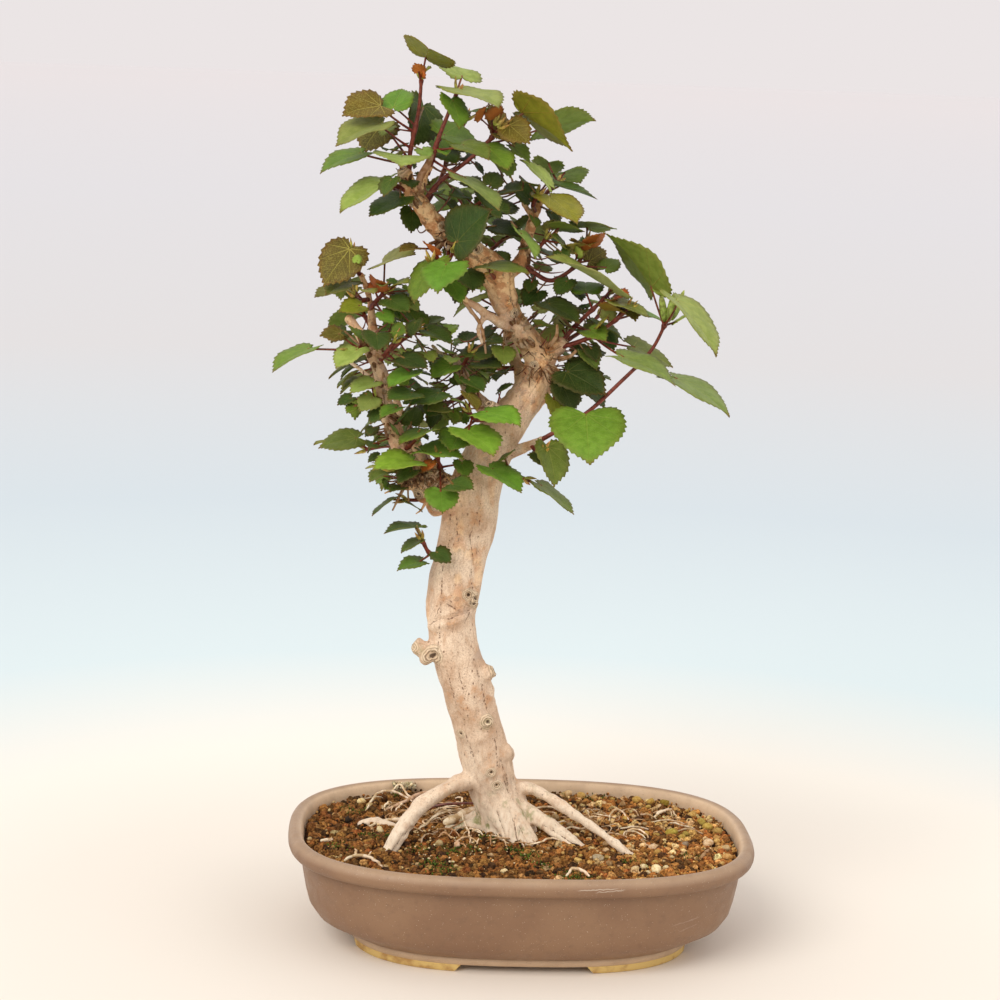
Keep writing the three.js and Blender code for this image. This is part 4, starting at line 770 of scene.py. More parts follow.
class Look:
    """A node material that is put together line by line."""

    def __init__(self, name, rough, shine=0.5):
        self.material = bpy.data.materials.new(name)
        self.material.use_nodes = True
        self.tree = self.material.node_tree
        self.shader = self.tree.nodes["Principled BSDF"].inputs
        self.shader["Roughness"].default_value = rough
        self.shader["Specular IOR Level"].default_value = shine
        # Object coordinates in metres
        self.here = Value(self, self.node("ShaderNodeTexCoord").outputs["Object"])

    def node(self, kind, **settings):
        made = self.tree.nodes.new(kind)
        for key, value in settings.items():
            setattr(made, key, value)
        return made

    def link(self, value, socket):
        if isinstance(value, Value):
            self.tree.links.new(value.socket, socket)
        else:
            socket.default_value = value

    def made(self, kind, values, output=0, **settings):
        """The output of a new node whose inputs are values, by name or in their order."""
        made = self.node(kind, **settings)
        if not isinstance(values, dict):
            values = dict(enumerate(values))
        for key, value in values.items():
            self.link(value, made.inputs[key])
        return Value(self, made.outputs[output])

    def math(self, operation, *values, clamp=False):
        return self.made("ShaderNodeMath", values, operation=operation, use_clamp=clamp)

    def mix(self, factor, first, second, blend="MIX"):
        """A mix of two colours, each a value or sRGB numbers from 0 to 255."""
        first, second = (colour if isinstance(colour, Value) else (*linear(colour), 1.0)
                         for colour in (first, second))
        return self.made("ShaderNodeMix", {0: factor, 6: first, 7: second}, 2, data_type="RGBA",
                         blend_type=blend)

    def place(self, squeeze):
        """Object coordinates, squeezed along Z where squeeze is below 1."""
        if squeeze == 1.0:
            return self.here
        return self.made("ShaderNodeMapping", {"Vector": self.here, "Scale": (1.0, 1.0, squeeze)})

    def attribute(self, name, output="Color"):
        return self.made("ShaderNodeAttribute", (), output, attribute_name=name)

    def parts(self, value, kind="XYZ"):
        split = self.node("ShaderNodeSeparate" + kind)
        self.link(value, split.inputs[0])
        return [Value(self, output) for output in split.outputs]

    def length(self, value):
        return self.made("ShaderNodeVectorMath", (value,), "Value", operation="LENGTH")

    def noise(self, scale, detail, rough=0.5, squeeze=1.0):
        return self.made("ShaderNodeTexNoise", {"Vector": self.place(squeeze), "Scale": scale,
                                                "Detail": detail, "Roughness": rough})

    def cells(self, vector, scale, feature="F1"):
        """Distance from the middles of cells, or from their edges."""
        return self.made("ShaderNodeTexVoronoi", {"Vector": vector, "Scale": scale}, "Distance",
                         feature=feature)

    def finished(self, colour, height, distance, strength):
        bump = {"Height": height, "Distance": distance, "Strength": strength}
        self.link(self.made("ShaderNodeBump", bump), self.shader["Normal"])
        self.link(colour, self.shader["Base Color"])
        return self.material


def bark_look():
    """Smooth pale bark with rows of dark pores, cracks, rough brown scabs and green stains."""
    look = Look("bark", 0.74, 0.25)
    rough, green, pale = look.parts(look.attribute("marks"), "Color")
    crack, row, strength = look.parts(look.attribute("lines", "Vector"))
    streaks = look.noise(420, 4, 0.62, 0.3)
    colour = look.mix(look.noise(48, 3, 0.55).span(0.4, 0.62), (238, 212, 183), (213, 180, 149))
    colour = look.mix(streaks.span(0.46, 0.68, 0.0, 0.38), colour, (178, 138, 104))
    # Speckles, rusty stains and grey patches
    for noise, low, high, share, tint in (
        ((1150, 2, 0.6), 0.42, 0.6, 0.28, (150, 112, 82)),
        ((95, 4, 0.65), 0.54, 0.68, 0.55, (200, 142, 92)),
        ((70, 3, 0.6), 0.58, 0.7, 0.35, (178, 160, 146)),
    ):
        colour = look.mix(look.noise(*noise).span(low, high, 0.0, share), colour, tint)
    bands = look.noise(170, 1, squeeze=0.06).span(0.46, 0.6, 0.25, 1.0)
    pores = look.cells(look.place(0.55), 430).span(0.12, 0.22, 1.0, 0.0)
    pores = pores * look.noise(330, 0).span(0.45, 0.52) * bands
    dots = look.cells(look.place(0.7), 760).span(0.12, 0.24, 0.55, 0.0)
    pores = pores.most(dots * look.noise(210, 1).span(0.46, 0.54))
    colour = look.mix(pores * 0.8, colour, (108, 64, 40))
    crack = abs(crack) / look.noise(620, 2).span(0.35, 0.65, 0.08, 0.5)
    dash = abs(row).span(0.2, 0.42, 1.0, 0.0) * look.noise(720, 1).span(0.5, 0.56)
    cut = (crack.span(0.5, 1.15, 1.0, 0.0) * 0.72).most(dash * 0.7) * strength
    cut = cut * look.noise(240, 1).span(0.42, 0.52, 0.25, 1.0)
    scab = look.noise(130, 5, 0.68).span(0.44, 0.56)
    # Rough brown scabs, their colours made lighter than the bark's own as painted light on the upper wood
    # that the crown shades
    lit_and_worn = look.mix(scab * 0.8, (250, 204, 148), (198, 124, 70))
    lit_and_worn = look.mix(look.noise(210, 5, 0.7).span(0.52, 0.62) * 0.7, lit_and_worn, (98, 60, 36))
    colour = look.mix(rough, colour, lit_and_worn)
    colour = look.mix(pale * streaks.span(0.4, 0.7, 0.85, 0.45), colour, (238, 222, 196))
    colour = look.mix(green * look.noise(300, 3).span(0.4, 0.6), colour, (116, 122, 58))
    colour = look.mix(cut, colour, (98, 56, 34))
    # Healed rings: a pale collar, three dark rings and a hollow
    eye = look.length(look.attribute("eye", "Vector")) + look.noise(380, 2) * 0.5 - 0.25
    colour = look.mix(eye.span(1.1, 1.5, 0.55, 0.0), colour, (232, 212, 178))
    for reach, share in ((0.62, 0.75), (0.98, 0.5), (1.32, 0.3)):
        colour = look.mix(abs(eye - reach).span(0.03, 0.11, share, 0.0), colour, (110, 78, 50))
    colour = look.mix(eye.span(0.2, 0.42, 0.9, 0.0), colour, (70, 48, 34))
    height = look.noise(800, 4, 0.62, 0.4) + look.noise(420, 5, 0.7) * rough * 2.5
    return look.finished(colour, height - pores.most(cut * 1.6), 0.0006, 0.75)


# Angle from the midrib and reach of the main veins, in blade lengths from the joint
VEINS = [(0.0, 1.0), (38.0, 0.66), (72.0, 0.55), (112.0, 0.42)]


def leaf_look(name, rough, shine, line, share, relief, net_relief):
    """A blade with palmate veins and a net of fine ones, painted by place on the blade."""
    look = Look(name, rough, shine)
    flat = look.attribute("flat", "Vector")
    u, v, strength = look.parts(flat)
    v = abs(v)
    level = look.made("ShaderNodeVectorMath", (flat, (1.0, 1.0, 0.0)), operation="MULTIPLY")
    reach = look.length(level)
    ribs = look.math("PINGPONG", u - v * 0.75 + 1.0, 0.06).span(0.0, 0.006, 1.0, 0.0)
    veins = ribs * (u - v).span(0.05, 0.12) * 0.5
    for angle, length in VEINS:
        c, s = math.cos(math.radians(angle)), math.sin(math.radians(angle))
        off = abs(u * s - v * c) / reach.span(0.0, length, 0.015, 0.004)
        mask = look.math("SUBTRACT", 1.0, off, clamp=True)
        veins = veins.most(mask * (u * c + v * s).span(0.0, 0.03))
    net = look.cells(level, 20, "DISTANCE_TO_EDGE").span(0.0, 0.08, 1.0, 0.0)
    tint = look.attribute("tint")
    deep = look.mix(1.0, tint, (226, 230, 214), "MULTIPLY")
    colour = look.mix(look.noise(240, 3).span(0.35, 0.65), deep, tint)
    line = look.mix(share, tint, line)
    colour = look.mix(net * (strength * 0.45), colour, line)
    colour = look.mix(veins * strength, colour, line)
    return look.finished(colour, veins * relief + net * net_relief, 0.0004, 0.6)


# Pale scratches on the front of the pot: x and height at both ends in metres, and strength
SCRATCHES = [
    (0.0329, 0.0571, 0.0554, 0.0582, 0.45), (0.0428, 0.0561, 0.0593, 0.0573, 0.4),
    (0.088, 0.0305, 0.105, 0.0335, 0.14), (0.092, 0.026, 0.104, 0.029, 0.12),
]


def clay_look():
    """Unglazed brown stoneware with fine pale and dark specks and a few scratches."""
    look = Look("clay", 0.5, 0.4)
    colour = look.mix(look.noise(22, 3).span(0.38, 0.64), (131, 99, 74), (140, 108, 81))
    colour = look.mix(look.noise(160, 4, 0.65).span(0.5, 0.7, 0.0, 0.4), colour, (119, 91, 69))
    # Painted light: the clay is made paler on the inner wall as if lit, and along the lip as a painted
    # highlight, in patches like rubbed wear
    lit_and_rubbed = look.attribute("lit_and_worn", "Fac") * look.noise(110, 4).span(0.3, 0.65, 0.78, 1.0)
    colour = look.mix(lit_and_rubbed, colour, (216, 188, 154))
    for specks, patches, share, tint in (
        (look.cells(look.here, 950).span(0.13, 0.22, 1.0, 0.0),
         look.noise(700, 1).span(0.55, 0.62), 0.6, (206, 192, 172)),
        (look.cells(look.here, 1300).span(0.14, 0.24, 1.0, 0.0),
         look.noise(600, 1).span(0.5, 0.6), 0.5, (84, 66, 56)),
    ):
        colour = look.mix(specks * patches * share, colour, tint)
    x, y, z = look.parts(look.here)
    wave = (look.noise(260, 2) - 0.5) * 0.0022
    for x0, z0, x1, z1, share in SCRATCHES:
        along = (x - x0) / (x1 - x0)
        off = abs(z + wave - (along * (z1 - z0) + z0)).span(0.00012, 0.0004, share, 0.0)
        mark = off * abs(along - 0.5).span(0.35, 0.55, 1.0, 0.0) * look.math("LESS_THAN", y, 0.0)
        colour = look.mix(mark, colour, (216, 202, 184))
    look.link(look.noise(90, 3).span(0.35, 0.65, 0.42, 0.58), look.shader["Roughness"])
    return look.finished(colour, look.noise(1300, 3, 0.6), 0.0003, 0.5)


def plain_look(name, rough, shine, patches, low, high, first, second, pits, depth, strength):
    """Patches of two colours, or of a piece's own tints and these made darker, and fine pits."""
    look = Look(name, rough, shine)
    if first is None:
        first = look.attribute("tint")
        second = look.mix(1.0, first, second, "MULTIPLY")
    colour = look.mix(look.noise(*patches).span(low, high), first, second)
    return look.finished(colour, look.noise(*pits), depth, strength)


# Roughness, shine, noise of the patches and its span, their colours, noise, depth and strength
# of the pits. None stands for a piece's own tints.
looks = {name: plain_look(name, *row) for name, row in {
    "shoot": (0.42, 0.3, (500, 2), 0.4, 0.62, None, (196, 186, 186), (1500, 2), 0.0002, 0.4),
    "foot": (0.85, 0.15, (120, 4), 0.45, 0.66, (208, 178, 112), (174, 136, 84), (1400, 3),
             0.0003, 0.6),
    "soil_grains": (0.85, 0.12, (700, 4, 0.65), 0.4, 0.62, None, (150, 138, 128),
                    (1500, 4, 0.65), 0.0006, 0.8),
    "pebbles": (0.85, 0.12, (700, 4, 0.65), 0.4, 0.62, None, (222, 206, 180), (1500, 4, 0.65),
                0.0003, 0.8),
    "soil_bed": (0.95, 0.1, (500, 4, 0.7), 0.42, 0.62, (44, 26, 15), (98, 58, 30),
                 (900, 4, 0.7), 0.0012, 0.9),
    "fibre": (0.8, 0.2, (260, 2), 0.42, 0.6, None, (212, 196, 172), (1200, 2), 0.0002, 0.5),
    "wire": (0.4, 0.5, (300, 3), 0.4, 0.66, (74, 28, 24), (116, 62, 46), (900, 2), 0.0002, 0.4),
    "plastic_mesh": (0.55, 0.5, (240, 3), 0.45, 0.7, (26, 26, 27), (74, 62, 52), (1100, 2),
                     0.0002, 0.4),
}.items()}
leaf_skins = [
    looks["shoot"],
    leaf_look("leaf_top", 0.48, 0.22, (212, 200, 96), 0.72, -0.8, -0.3),
    leaf_look("leaf_under", 0.6, 0.14, (176, 92, 52), 0.55, 0.9, 0.35),
]

# Healed rings on the bark: x, y, z, the way it faces, radius, rise and depth of the hollow
RINGS = [
    ((-56.5, -18, 166.5), (-0.35, -0.9, 0.1), 4.6, 1.9, 2.6),
    ((-66, -14, 170.5), (-0.9, -0.4, 0.1), 2.4, 0.8, 1.0),
    ((-34.7, -17, 202.7), (0, -1, 0.1), 2.8, 2.2, 1.8),
    ((-29.4, -15, 201.2), (0.25, -1, 0), 2.9, 2.2, 1.8),
    ((-33, -17, 197), (0.1, -1, 0), 1.8, 0.8, 0.9),
    ((-17, -9, 156.5), (0.9, -0.5, 0), 3.4, 1.6, 0.6),
    ((-22, -16, 129), (0.2, -1, 0.2), 3.4, 1.6, 1.5),
    ((-40.6, -15, 119), (-0.3, -1, 0), 2.2, 0.9, 1.0),
    ((-20, -13, 98.7), (0, -1, 0), 2.3, 1.1, 1.3),
    ((-16.3, -12, 91), (0.1, -1, 0), 2.4, 1.1, 1.3),
    ((-60, -19, 268), (-0.2, -1, 0.1), 4.8, 2.0, 2.2),
    ((-54, -15, 255), (0.1, -1, -0.2), 3.4, 1.2, 1.4),
    ((-68, -17, 259), (-0.3, -1, -0.1), 2.8, 1.1, 1.6),
    ((-28, -15, 313), (-0.3, -0.8, 0.5), 3.2, 0.8, 0.9),
    ((-50, 12, 336.5), (-0.3, -0.5, 0.8), 3.2, 0.7, 0.8),
    ((-4, -2, 332), (-0.2, -1, 0.1), 2.4, 0.9, 1.2),
    ((-30, 18, 150), (0.2, 1, 0.1), 3.6, 1.3, 1.3), ((-44, 12, 214), (-0.4, 1, 0), 3.2, 1.2, 1.2),
    ((-20, 15, 112), (0.3, 1, 0), 2.8, 1.0, 1.2), ((-81, -8, 442), (-0.1, -0.3, 1), 3.8, 0.5, 1.8),
    ((-37, -9, 398), (0.1, -1, 0.2), 2.6, 0.8, 1.4), ((-56, -12, 410), (-0.2, -1, 0), 2.2, 0.8, 1.2),
    ((-14, -3, 362), (0.2, -1, 0.1), 2.2, 0.8, 1.0),
]
# Cracks and folds in the bark: their points, half width and depth
CRACKS = [
    ([(-63, -13, 181), (-56, -17, 186), (-51.5, -19, 188.5), (-46, -20, 189), (-41, -20, 191),
      (-35, -19, 192), (-29.9, -16, 195)], 1.1, 0.9),
    ([(-55, -18, 190), (-52, -18, 196), (-48.9, -18, 200.5), (-46, -18, 199)], 0.8, 0.6),
    ([(-47, -19, 197), (-42, -19, 194), (-38, -19, 192)], 0.8, 0.6),
    ([(-11, -14, 95), (-9.2, -13, 89), (-8, -13, 86)], 0.9, 1.1),
    ([(-37, -20, 193.8), (-34, -19, 198), (-30, -18, 199)], 0.8, 0.6),
    ([(-6, -7, 112), (-4, -9, 106), (-3, -10, 99)], 1.2, 1.6),
    ([(-66, -26, 68), (-70, -30, 64), (-73, -34, 58), (-76, -36, 53), (-80, -39, 48)], 1.0, 1.7),
    ([(-1, -24, 68), (2, -26, 62), (5, -28, 56), (8, -31, 50)], 1.2, 1.8),
    ([(-8, -20, 78), (-5, -22, 70), (-3, -26, 58), (-2, -30, 50)], 1.0, 1.3),
    ([(-14, -16, 74), (-11, -21, 64), (-9, -25, 54)], 0.9, 0.9),
    ([(14, -12, 66), (26, -19, 60), (36, -24, 54)], 0.9, 1.1),
    ([(-30, -16, 250), (-36, -12, 236), (-34, -12, 222)], 0.8, 0.6),
    ([(4, -1, 330), (-3, -3, 318), (-10, -4, 306)], 0.9, 0.7),
    ([(-25, 13, 90), (-28, 12, 112), (-35, 11, 132)], 0.9, 0.8),
    ([(-42, 13, 176), (-44, 12, 190), (-40, 14, 206)], 0.9, 0.7),
    ([(-60, -15, 249), (-52, -15, 246), (-47, -14, 240)], 1.2, 1.5),
    ([(-70, -16, 272), (-64, -18, 276), (-58, -17, 280)], 1.1, 1.3),
    ([(-72, -15, 262), (-66, -16, 264), (-62, -17, 260)], 1.1, 1.4),
    ([(-22, -6, 388), (-34, -11, 396), (-44, -11, 402), (-52, -12, 408)], 1.0, 1.0),
    ([(-10, -1, 356), (-15, -3, 366), (-17, -6, 376)], 1.0, 0.9),
    ([(-88, -14, 322), (-86, -14, 308), (-82, -14, 296)], 0.8, 0.7),
]
# Swollen folds: their points, half width and rise
RIDGES = [
    ([(-63, -12, 178), (-55, -18, 184), (-46, -20, 186), (-37, -20, 189), (-29, -16, 193)], 2.6, 1.5),
    ([(-26, -12, 209), (-30, -16, 198), (-29, -15, 190)], 3.0, 1.2),
    ([(-62, -10, 190), (-60, -14, 183)], 2.4, 1.3),
    ([(-42, -16, 116), (-30, -18, 116), (-22, -16, 120)], 2.2, 0.8),
    ([(-31, -12, 92), (-27, -14, 84), (-24, -14, 78)], 2.6, 1.1),
    ([(-8, -8, 118), (-4, -8, 108), (-3, -9, 96)], 3.2, 1.2),
    ([(-26, -12, 262), (-24, -10, 250), (-26, -8, 240)], 3.0, 1.3),
    ([(-16, -8, 166), (-14, -6, 156), (-16, -4, 146)], 3.0, 1.2),
]
# Rows of dark pores that run up the trunk: x and z at both ends
DASHES = [
    ((-34.2, 222), (-34.9, 207)), ((-50.6, 219), (-51.2, 201)), ((-38.8, 181), (-33.8, 168)),
    ((-33.8, 168), (-30.7, 163)), ((-30.7, 163), (-22.8, 136)), ((-17.6, 119), (-15.8, 102)),
    ((-44, 246), (-42, 232)), ((-30, 262), (-31, 226)), ((-51, 200), (-52, 172)),
    ((-47, 160), (-41, 138)), ((-36, 126), (-29, 104)), ((-46, 258), (-48, 230)),
    ((-14.5, 106), (-8, 85)), ((-33, 206), (-37, 186)), ((-40, 160), (-34, 136)), ((-25, 128), (-19, 116)),
]
# Height and width of the ball of a knob at each station, in its radii
KNOB_SECTION = [(-0.92, 0.3), (-0.5, 0.8), (0, 0.94), (0.5, 0.8), (0.92, 0.3)]
# Size of the skin's mesh over the wood in metres, and a coarser size that this script doesn't use
VOXEL, QUICK_VOXEL = 0.00098, 0.0016
# Stands for a point far from every ring, crack or row
FAR_RINGS, FAR_MM = 5.0, 6.0


def line_offset(points, out, line):
    """Distance of each point from a broken line, with a sign for the side it lies on."""
    best, side = np.full(len(points), 1e9), np.ones(len(points))
    for a, b in zip(line, line[1:]):
        a, b = np.array(a, float), np.array(b, float)
        t = np.clip(((points - a) @ (b - a)) / ((b - a) @ (b - a)), 0, 1)
        away = points - a - t[:, None] * (b - a)
        flat = away - out * (away * out).sum(axis=1)[:, None] * 0.7
        gap = np.linalg.norm(flat, axis=1)
        left = np.sign((np.cross(b - a, out) * away).sum(axis=1))
        side = np.where(gap < best, left, side)
        best = np.minimum(best, gap)
    return best, side


def evaluated(thing, name):
    """The mesh of an object with its modifiers applied; the object itself goes."""
    depsgraph = bpy.context.evaluated_depsgraph_get()
    mesh = bpy.data.meshes.new_from_object(thing.evaluated_get(depsgraph))
    mesh.name = name
    remove(thing)
    return mesh


def remove(thing):
    mesh = thing.data
    bpy.data.objects.remove(thing)
    bpy.data.meshes.remove(mesh)


def grown_wood():
    """Trunk, limbs, roots and knobs as one skin, in metres."""
    build = Build()
    build.add(*tube(TRUNK, 36, 160, 0.035, 0.985))
    for paths, sides, lump in ((LIMBS, 20, 0.05), (ROOTS, 18, 0.06)):
        for path in paths.values():
            build.add(*tube(path, sides, 4 + int(path_length(path) / 2), lump, 0.98))
    for x, y, z, r in KNOBS:
        build.add(*tube([(x, y, z + r * up, wide * r) for up, wide in KNOB_SECTION], 16, 12))
    thing = linked("wood_tubes", build.mesh("wood_tubes"))
    remesh = thing.modifiers.new("skin", "REMESH")
    remesh.mode = "VOXEL"
    remesh.voxel_size = VOXEL
    return evaluated(thing, "tree_wood")


def eased(points, ends, strength, rounds):
    """Each point moves towards the middle of its neighbours."""
    count = np.bincount(ends.ravel(), minlength=len(points))[:, None]
    for _ in range(rounds):
        total = np.zeros_like(points)
        np.add.at(total, ends[:, 0], points[ends[:, 1]])
        np.add.at(total, ends[:, 1], points[ends[:, 0]])
        points = points + strength * (total / np.maximum(count, 1) - points)
    return points


def bell(value, width):
    return np.exp(-((value / width) ** 2))


def spot(mm, centre, spread):
    """1 at a point of the wood, fading out round it."""
    return np.exp(-((mm - centre) ** 2).sum(axis=1) / spread)


def lumps(mm, *rows):
    """Smooth noises added up, each a row of rise, lump size and seed."""
    return sum(rise * lattice_noise(mm, size, seed) for rise, size, seed in rows)


def healed_rings(mm, out):
    """How far the rings move each point, and its place in the nearest one in ring radii."""
    move, eye = np.zeros_like(mm), np.full((len(mm), 3), FAR_RINGS)
    for centre, faces, radius, rise, depth in RINGS:
        axis = unit(np.array(faces, float))
        away = mm - mm[np.argmin(np.linalg.norm(mm - centre, axis=1))]
        deep = away @ axis
        level = away - deep[:, None] * axis
        flat = np.linalg.norm(level, axis=1)
        close = (np.abs(deep) < radius * 2) & (flat < radius * 2.4) & ((out @ axis) > -0.1)
        d = flat[close] * (1 + 0.14 * lattice_noise(mm[close], 3, 31)) / radius
        ring = rise * (bell(d - 0.8, 0.3) + 0.45 * bell(d - 1.5, 0.26))
        move[close] += axis * (ring - depth * bell(d, 0.42))[:, None]
        local = level[close] / radius
        nearer = np.linalg.norm(local, axis=1) < np.linalg.norm(eye[close], axis=1)
        eye[np.flatnonzero(close)[nearer]] = local[nearer]
    return move, eye


def bark_lines(mm, out):
    """The lift of cracks, pore rows and folds, and the distance from a crack and from a row."""
    lift, crack, row = np.zeros(len(mm)), np.full(len(mm), FAR_MM), np.full(len(mm), FAR_MM)
    ragged = 0.3 * lattice_noise(mm, 2.5, 41)
    for line, width, depth in CRACKS:
        d, side = line_offset(mm, out, line)
        d = np.abs(d + ragged)
        lift -= depth * (bell(d, width) - 0.4 * bell(d - 2.4 * width, width))
        closer = d < np.abs(crack)
        crack[closer] = (d * side)[closer]
    sway = 0.5 * lattice_noise(mm, 6, 43)
    for (x0, z0), (x1, z1) in DASHES:
        t = (mm[:, 2] - z0) / (z1 - z0)
        off = mm[:, 0] - (x0 + (x1 - x0) * t + sway)
        here = (t > -0.05) & (t < 1.05) & (out[:, 1] < -0.2) & (np.abs(off) < np.abs(row))
        row[here] = off[here]
    lift -= 0.2 * bell(row, 0.9)
    for line, width, rise in RIDGES:
        lift += rise * bell(line_offset(mm, out, line)[0], width)
    return lift, crack, row


def make_wood():
    mesh = grown_wood()
    ends = np.zeros(len(mesh.edges) * 2, np.int64)
    mesh.edges.foreach_get("vertices", ends)
    ends = ends.reshape(-1, 2)
    points = read_vectors(mesh.vertices, "co")
    for _ in range(3):
        points = eased(points, ends, 0.5, 2)
        points = eased(points, ends, -0.52, 1)
    write_points(mesh, points)
    out = read_vectors(mesh.vertex_normals, "vector")
    mm = millimetres(points)
    z = mm[:, 2]
    burl, shoulder = spot(mm, (-63, -8, 262), 420), spot(mm, (-2, 6, 336), 700)
    upper, root = smooth_step(352, 384, z), smooth_step(84, 66, z)
    limb = smooth_step(-62, -72, mm[:, 0]) * smooth_step(262, 280, z)
    gnarl = np.clip(1.5 * burl + shoulder + 0.8 * upper + 0.45 * limb, 0, 1.6)
    lift = lumps(mm, (0.85, (14, 14, 20), 3), (0.26, (2.6, 2.6, 12), 7), (0.16, 2.2, 9),
                 (0.42, (5, 5, 7.5), 21))
    lift += 0.45 * lattice_noise(mm, (5, 5, 22), 5) * (1 - 0.5 * root)
    lift += gnarl * lumps(mm, (0.9, 6.5, 11), (0.75, 3.4, 13))
    lift -= gnarl * 1.1 * smooth_step(0.35, 0.75, lattice_noise(mm, 4.6, 15))
    lift += root * lumps(mm, (0.5, 7, 17), (0.3, 3.2, 19))
    slim = smooth_step(376, 430, z) * (mm[:, 0] > -20) + 0.7 * limb
    lift *= np.clip(1.25 - 0.9 * slim, 0.35, 1)
    move, eye = healed_rings(mm, out)
    drawn, crack, row = bark_lines(mm, out)
    # Sides are told apart only near a line
    strength = smooth_step(2.4, 1.4, np.minimum(np.abs(crack), np.abs(row)))
    mm = mm + out * (lift + drawn)[:, None] + move
    write_points(mesh, metres(mm))
    rough = np.clip(0.95 * upper + burl + 0.75 * shoulder + 0.45 * limb, 0, 0.95)
    rust = smooth_step(0.15, 0.6, lattice_noise(mm, (9, 9, 14), 57)) * smooth_step(285, 325, z)
    low_rust = smooth_step(0.3, 0.75, lattice_noise(mm, (6, 6, 15), 59)) * smooth_step(150, 190, z)
    rough += 0.6 * rust + 0.4 * low_rust
    rough += 0.3 * spot(mm, (-30, -15, 133), 22) + 0.45 * spot(mm, (-19, -8, 156), 20)
    pale = np.clip(0.9 * root + 0.35 * smooth_step(150, 90, z), 0, 0.9)
    green = 0.8 * smooth_step(96, 66, z) * smooth_step(0.05, 0.5, lattice_noise(mm, 5, 53))
    green *= smooth_step(-52, -40, mm[:, 0]) * smooth_step(26, 12, mm[:, 0])
    green += spot(mm, (-22, -16, 128), 14) + 0.8 * spot(mm, (-62, -16, 168), 7)
    marks = (np.clip(rough, 0, 1), np.clip(green, 0, 0.85), pale, np.ones(len(mm)))
    add_layer(mesh, "marks", "FLOAT_COLOR", np.stack(marks, axis=1))
    add_layer(mesh, "lines", "FLOAT_VECTOR", np.stack((crack, row, strength), axis=1))
    add_layer(mesh, "eye", "FLOAT_VECTOR", eye)
    mesh.shade_smooth()
    dress(mesh, bark_look())
    place(mesh, "tree_wood", ["trunk"])


make_wood()

# Half outline of a blade as (along, across) in blade lengths, from the notch to the tip
HALF_LEAF = [
    (0, 0), (-0.12, 0.09), (-0.18, 0.25), (-0.1, 0.42), (0.1, 0.52), (0.35, 0.52),
    (0.6, 0.42), (0.78, 0.25), (0.9, 0.085), (1, 0),
]
# Colour of the upper side and of the underside for each kind of leaf, as sRGB, and how
# strongly its veins show
# The underside colours are partly the leaf's own paler underside and partly painted light, lighter as if
# lit through the blade
KINDS = {
    "olive": ((140, 144, 32), (150, 146, 44), 0.5),
    "green": ((98, 132, 38), (138, 156, 66), 0.35),
    "bronze": ((98, 82, 18), (140, 118, 40), 0.85),
    "light": ((148, 166, 80), (170, 184, 110), 0.3),
    "dark": ((66, 90, 31), (104, 126, 52), 0.25),
    "orange": ((192, 92, 36), (206, 116, 52), 0.5),
    "dull": ((104, 122, 46), (140, 148, 76), 0.35),
    "deep": ((58, 78, 28), (86, 108, 46), 0.16),
    "bright": ((114, 154, 48), (152, 176, 72), 0.16),
    "lime": ((144, 176, 54), (172, 192, 86), 0.18),
    "pale": ((172, 176, 88), (176, 180, 102), 0.35),
    "bud": ((186, 194, 84), (196, 188, 96), 0.3),
}
STALK_RED, STALK_GREEN, WOODY = (124, 40, 32), (150, 134, 60), (156, 116, 84)
SCORCH, SCORCH_UNDER = (120, 70, 34), (130, 84, 52)
STEM_BASE, STEM_TIP, STEM_MOST = 1.45, 0.9, 1.9
BLADE_THICK = 0.34
look_draw = draws_from(8821)


def blade_plan(teeth, rings, depth):
    """Points (u, v, share of the way to the edge) of a blade, its faces and its edge loop."""
    columns = 2 * teeth
    points, faces = [(0.0, 0.0, 0.0)], []
    index = {}
    for side in (1, -1):
        for k in range(1, columns):
            t = k / columns
            fade = smooth_step(0.1, 0.2, t) * smooth_step(1.0, 0.9, t)
            late = 0.42 / columns * fade if k % 2 else 0.0
            u, v = on_path(HALF_LEAF, t + late)
            before, after = on_path(HALF_LEAF, max(t - 0.02, 0)), on_path(HALF_LEAF, min(t + 0.02, 1))
            run = unit(np.array([after[0] - before[0], after[1] - before[1]]))
            tooth = (0.62 if k % 2 else -0.38) * depth * fade
            edge = np.array([u, v]) + np.array([-run[1], run[0]]) * tooth
            middle = np.array([t ** 2.1, 0.0])
            for r in range(rings + 1):
                if r == 0 and side < 0:
                    index[side, k, r] = index[1, k, 0]
                    continue
                share = (r / rings) ** 0.85
                index[side, k, r] = len(points)
                at = middle + (edge - middle) * share
                points.append((at[0], side * at[1], share))
    tip = len(points)
    points.append((1.0, 0.0, 0.0))
    for side in (1, -1):
        for r in range(rings + 1):
            index[side, 0, r], index[side, columns, r] = 0, tip
        for k in range(columns):
            for r in range(rings):
                face = [index[side, k, r], index[side, k, r + 1], index[side, k + 1, r + 1],
                        index[side, k + 1, r]]
                face = list(dict.fromkeys(face))
                faces.append(face if side > 0 else face[::-1])
    loop = [index[1, k, rings] for k in range(columns + 1)]
    loop += [index[-1, k, rings] for k in range(columns - 1, 0, -1)]
    return np.array(points), faces, loop


# Finer blades for longer leaves: least length in millimetres and plan
PLANS = [(28, blade_plan(20, 5, 0.032)), (18, blade_plan(14, 4, 0.05)),
         (12, blade_plan(11, 3, 0.066)), (0, blade_plan(8, 2, 0.08))]


def shade(colour, amount, turn=0.0):
    """A colour made lighter or darker, and a little redder or greener."""
    r, g, b = colour
    return (min(255, r * amount * (1 + turn)), min(255, g * amount * (1 - turn * 0.6)),
            min(255, b * amount))


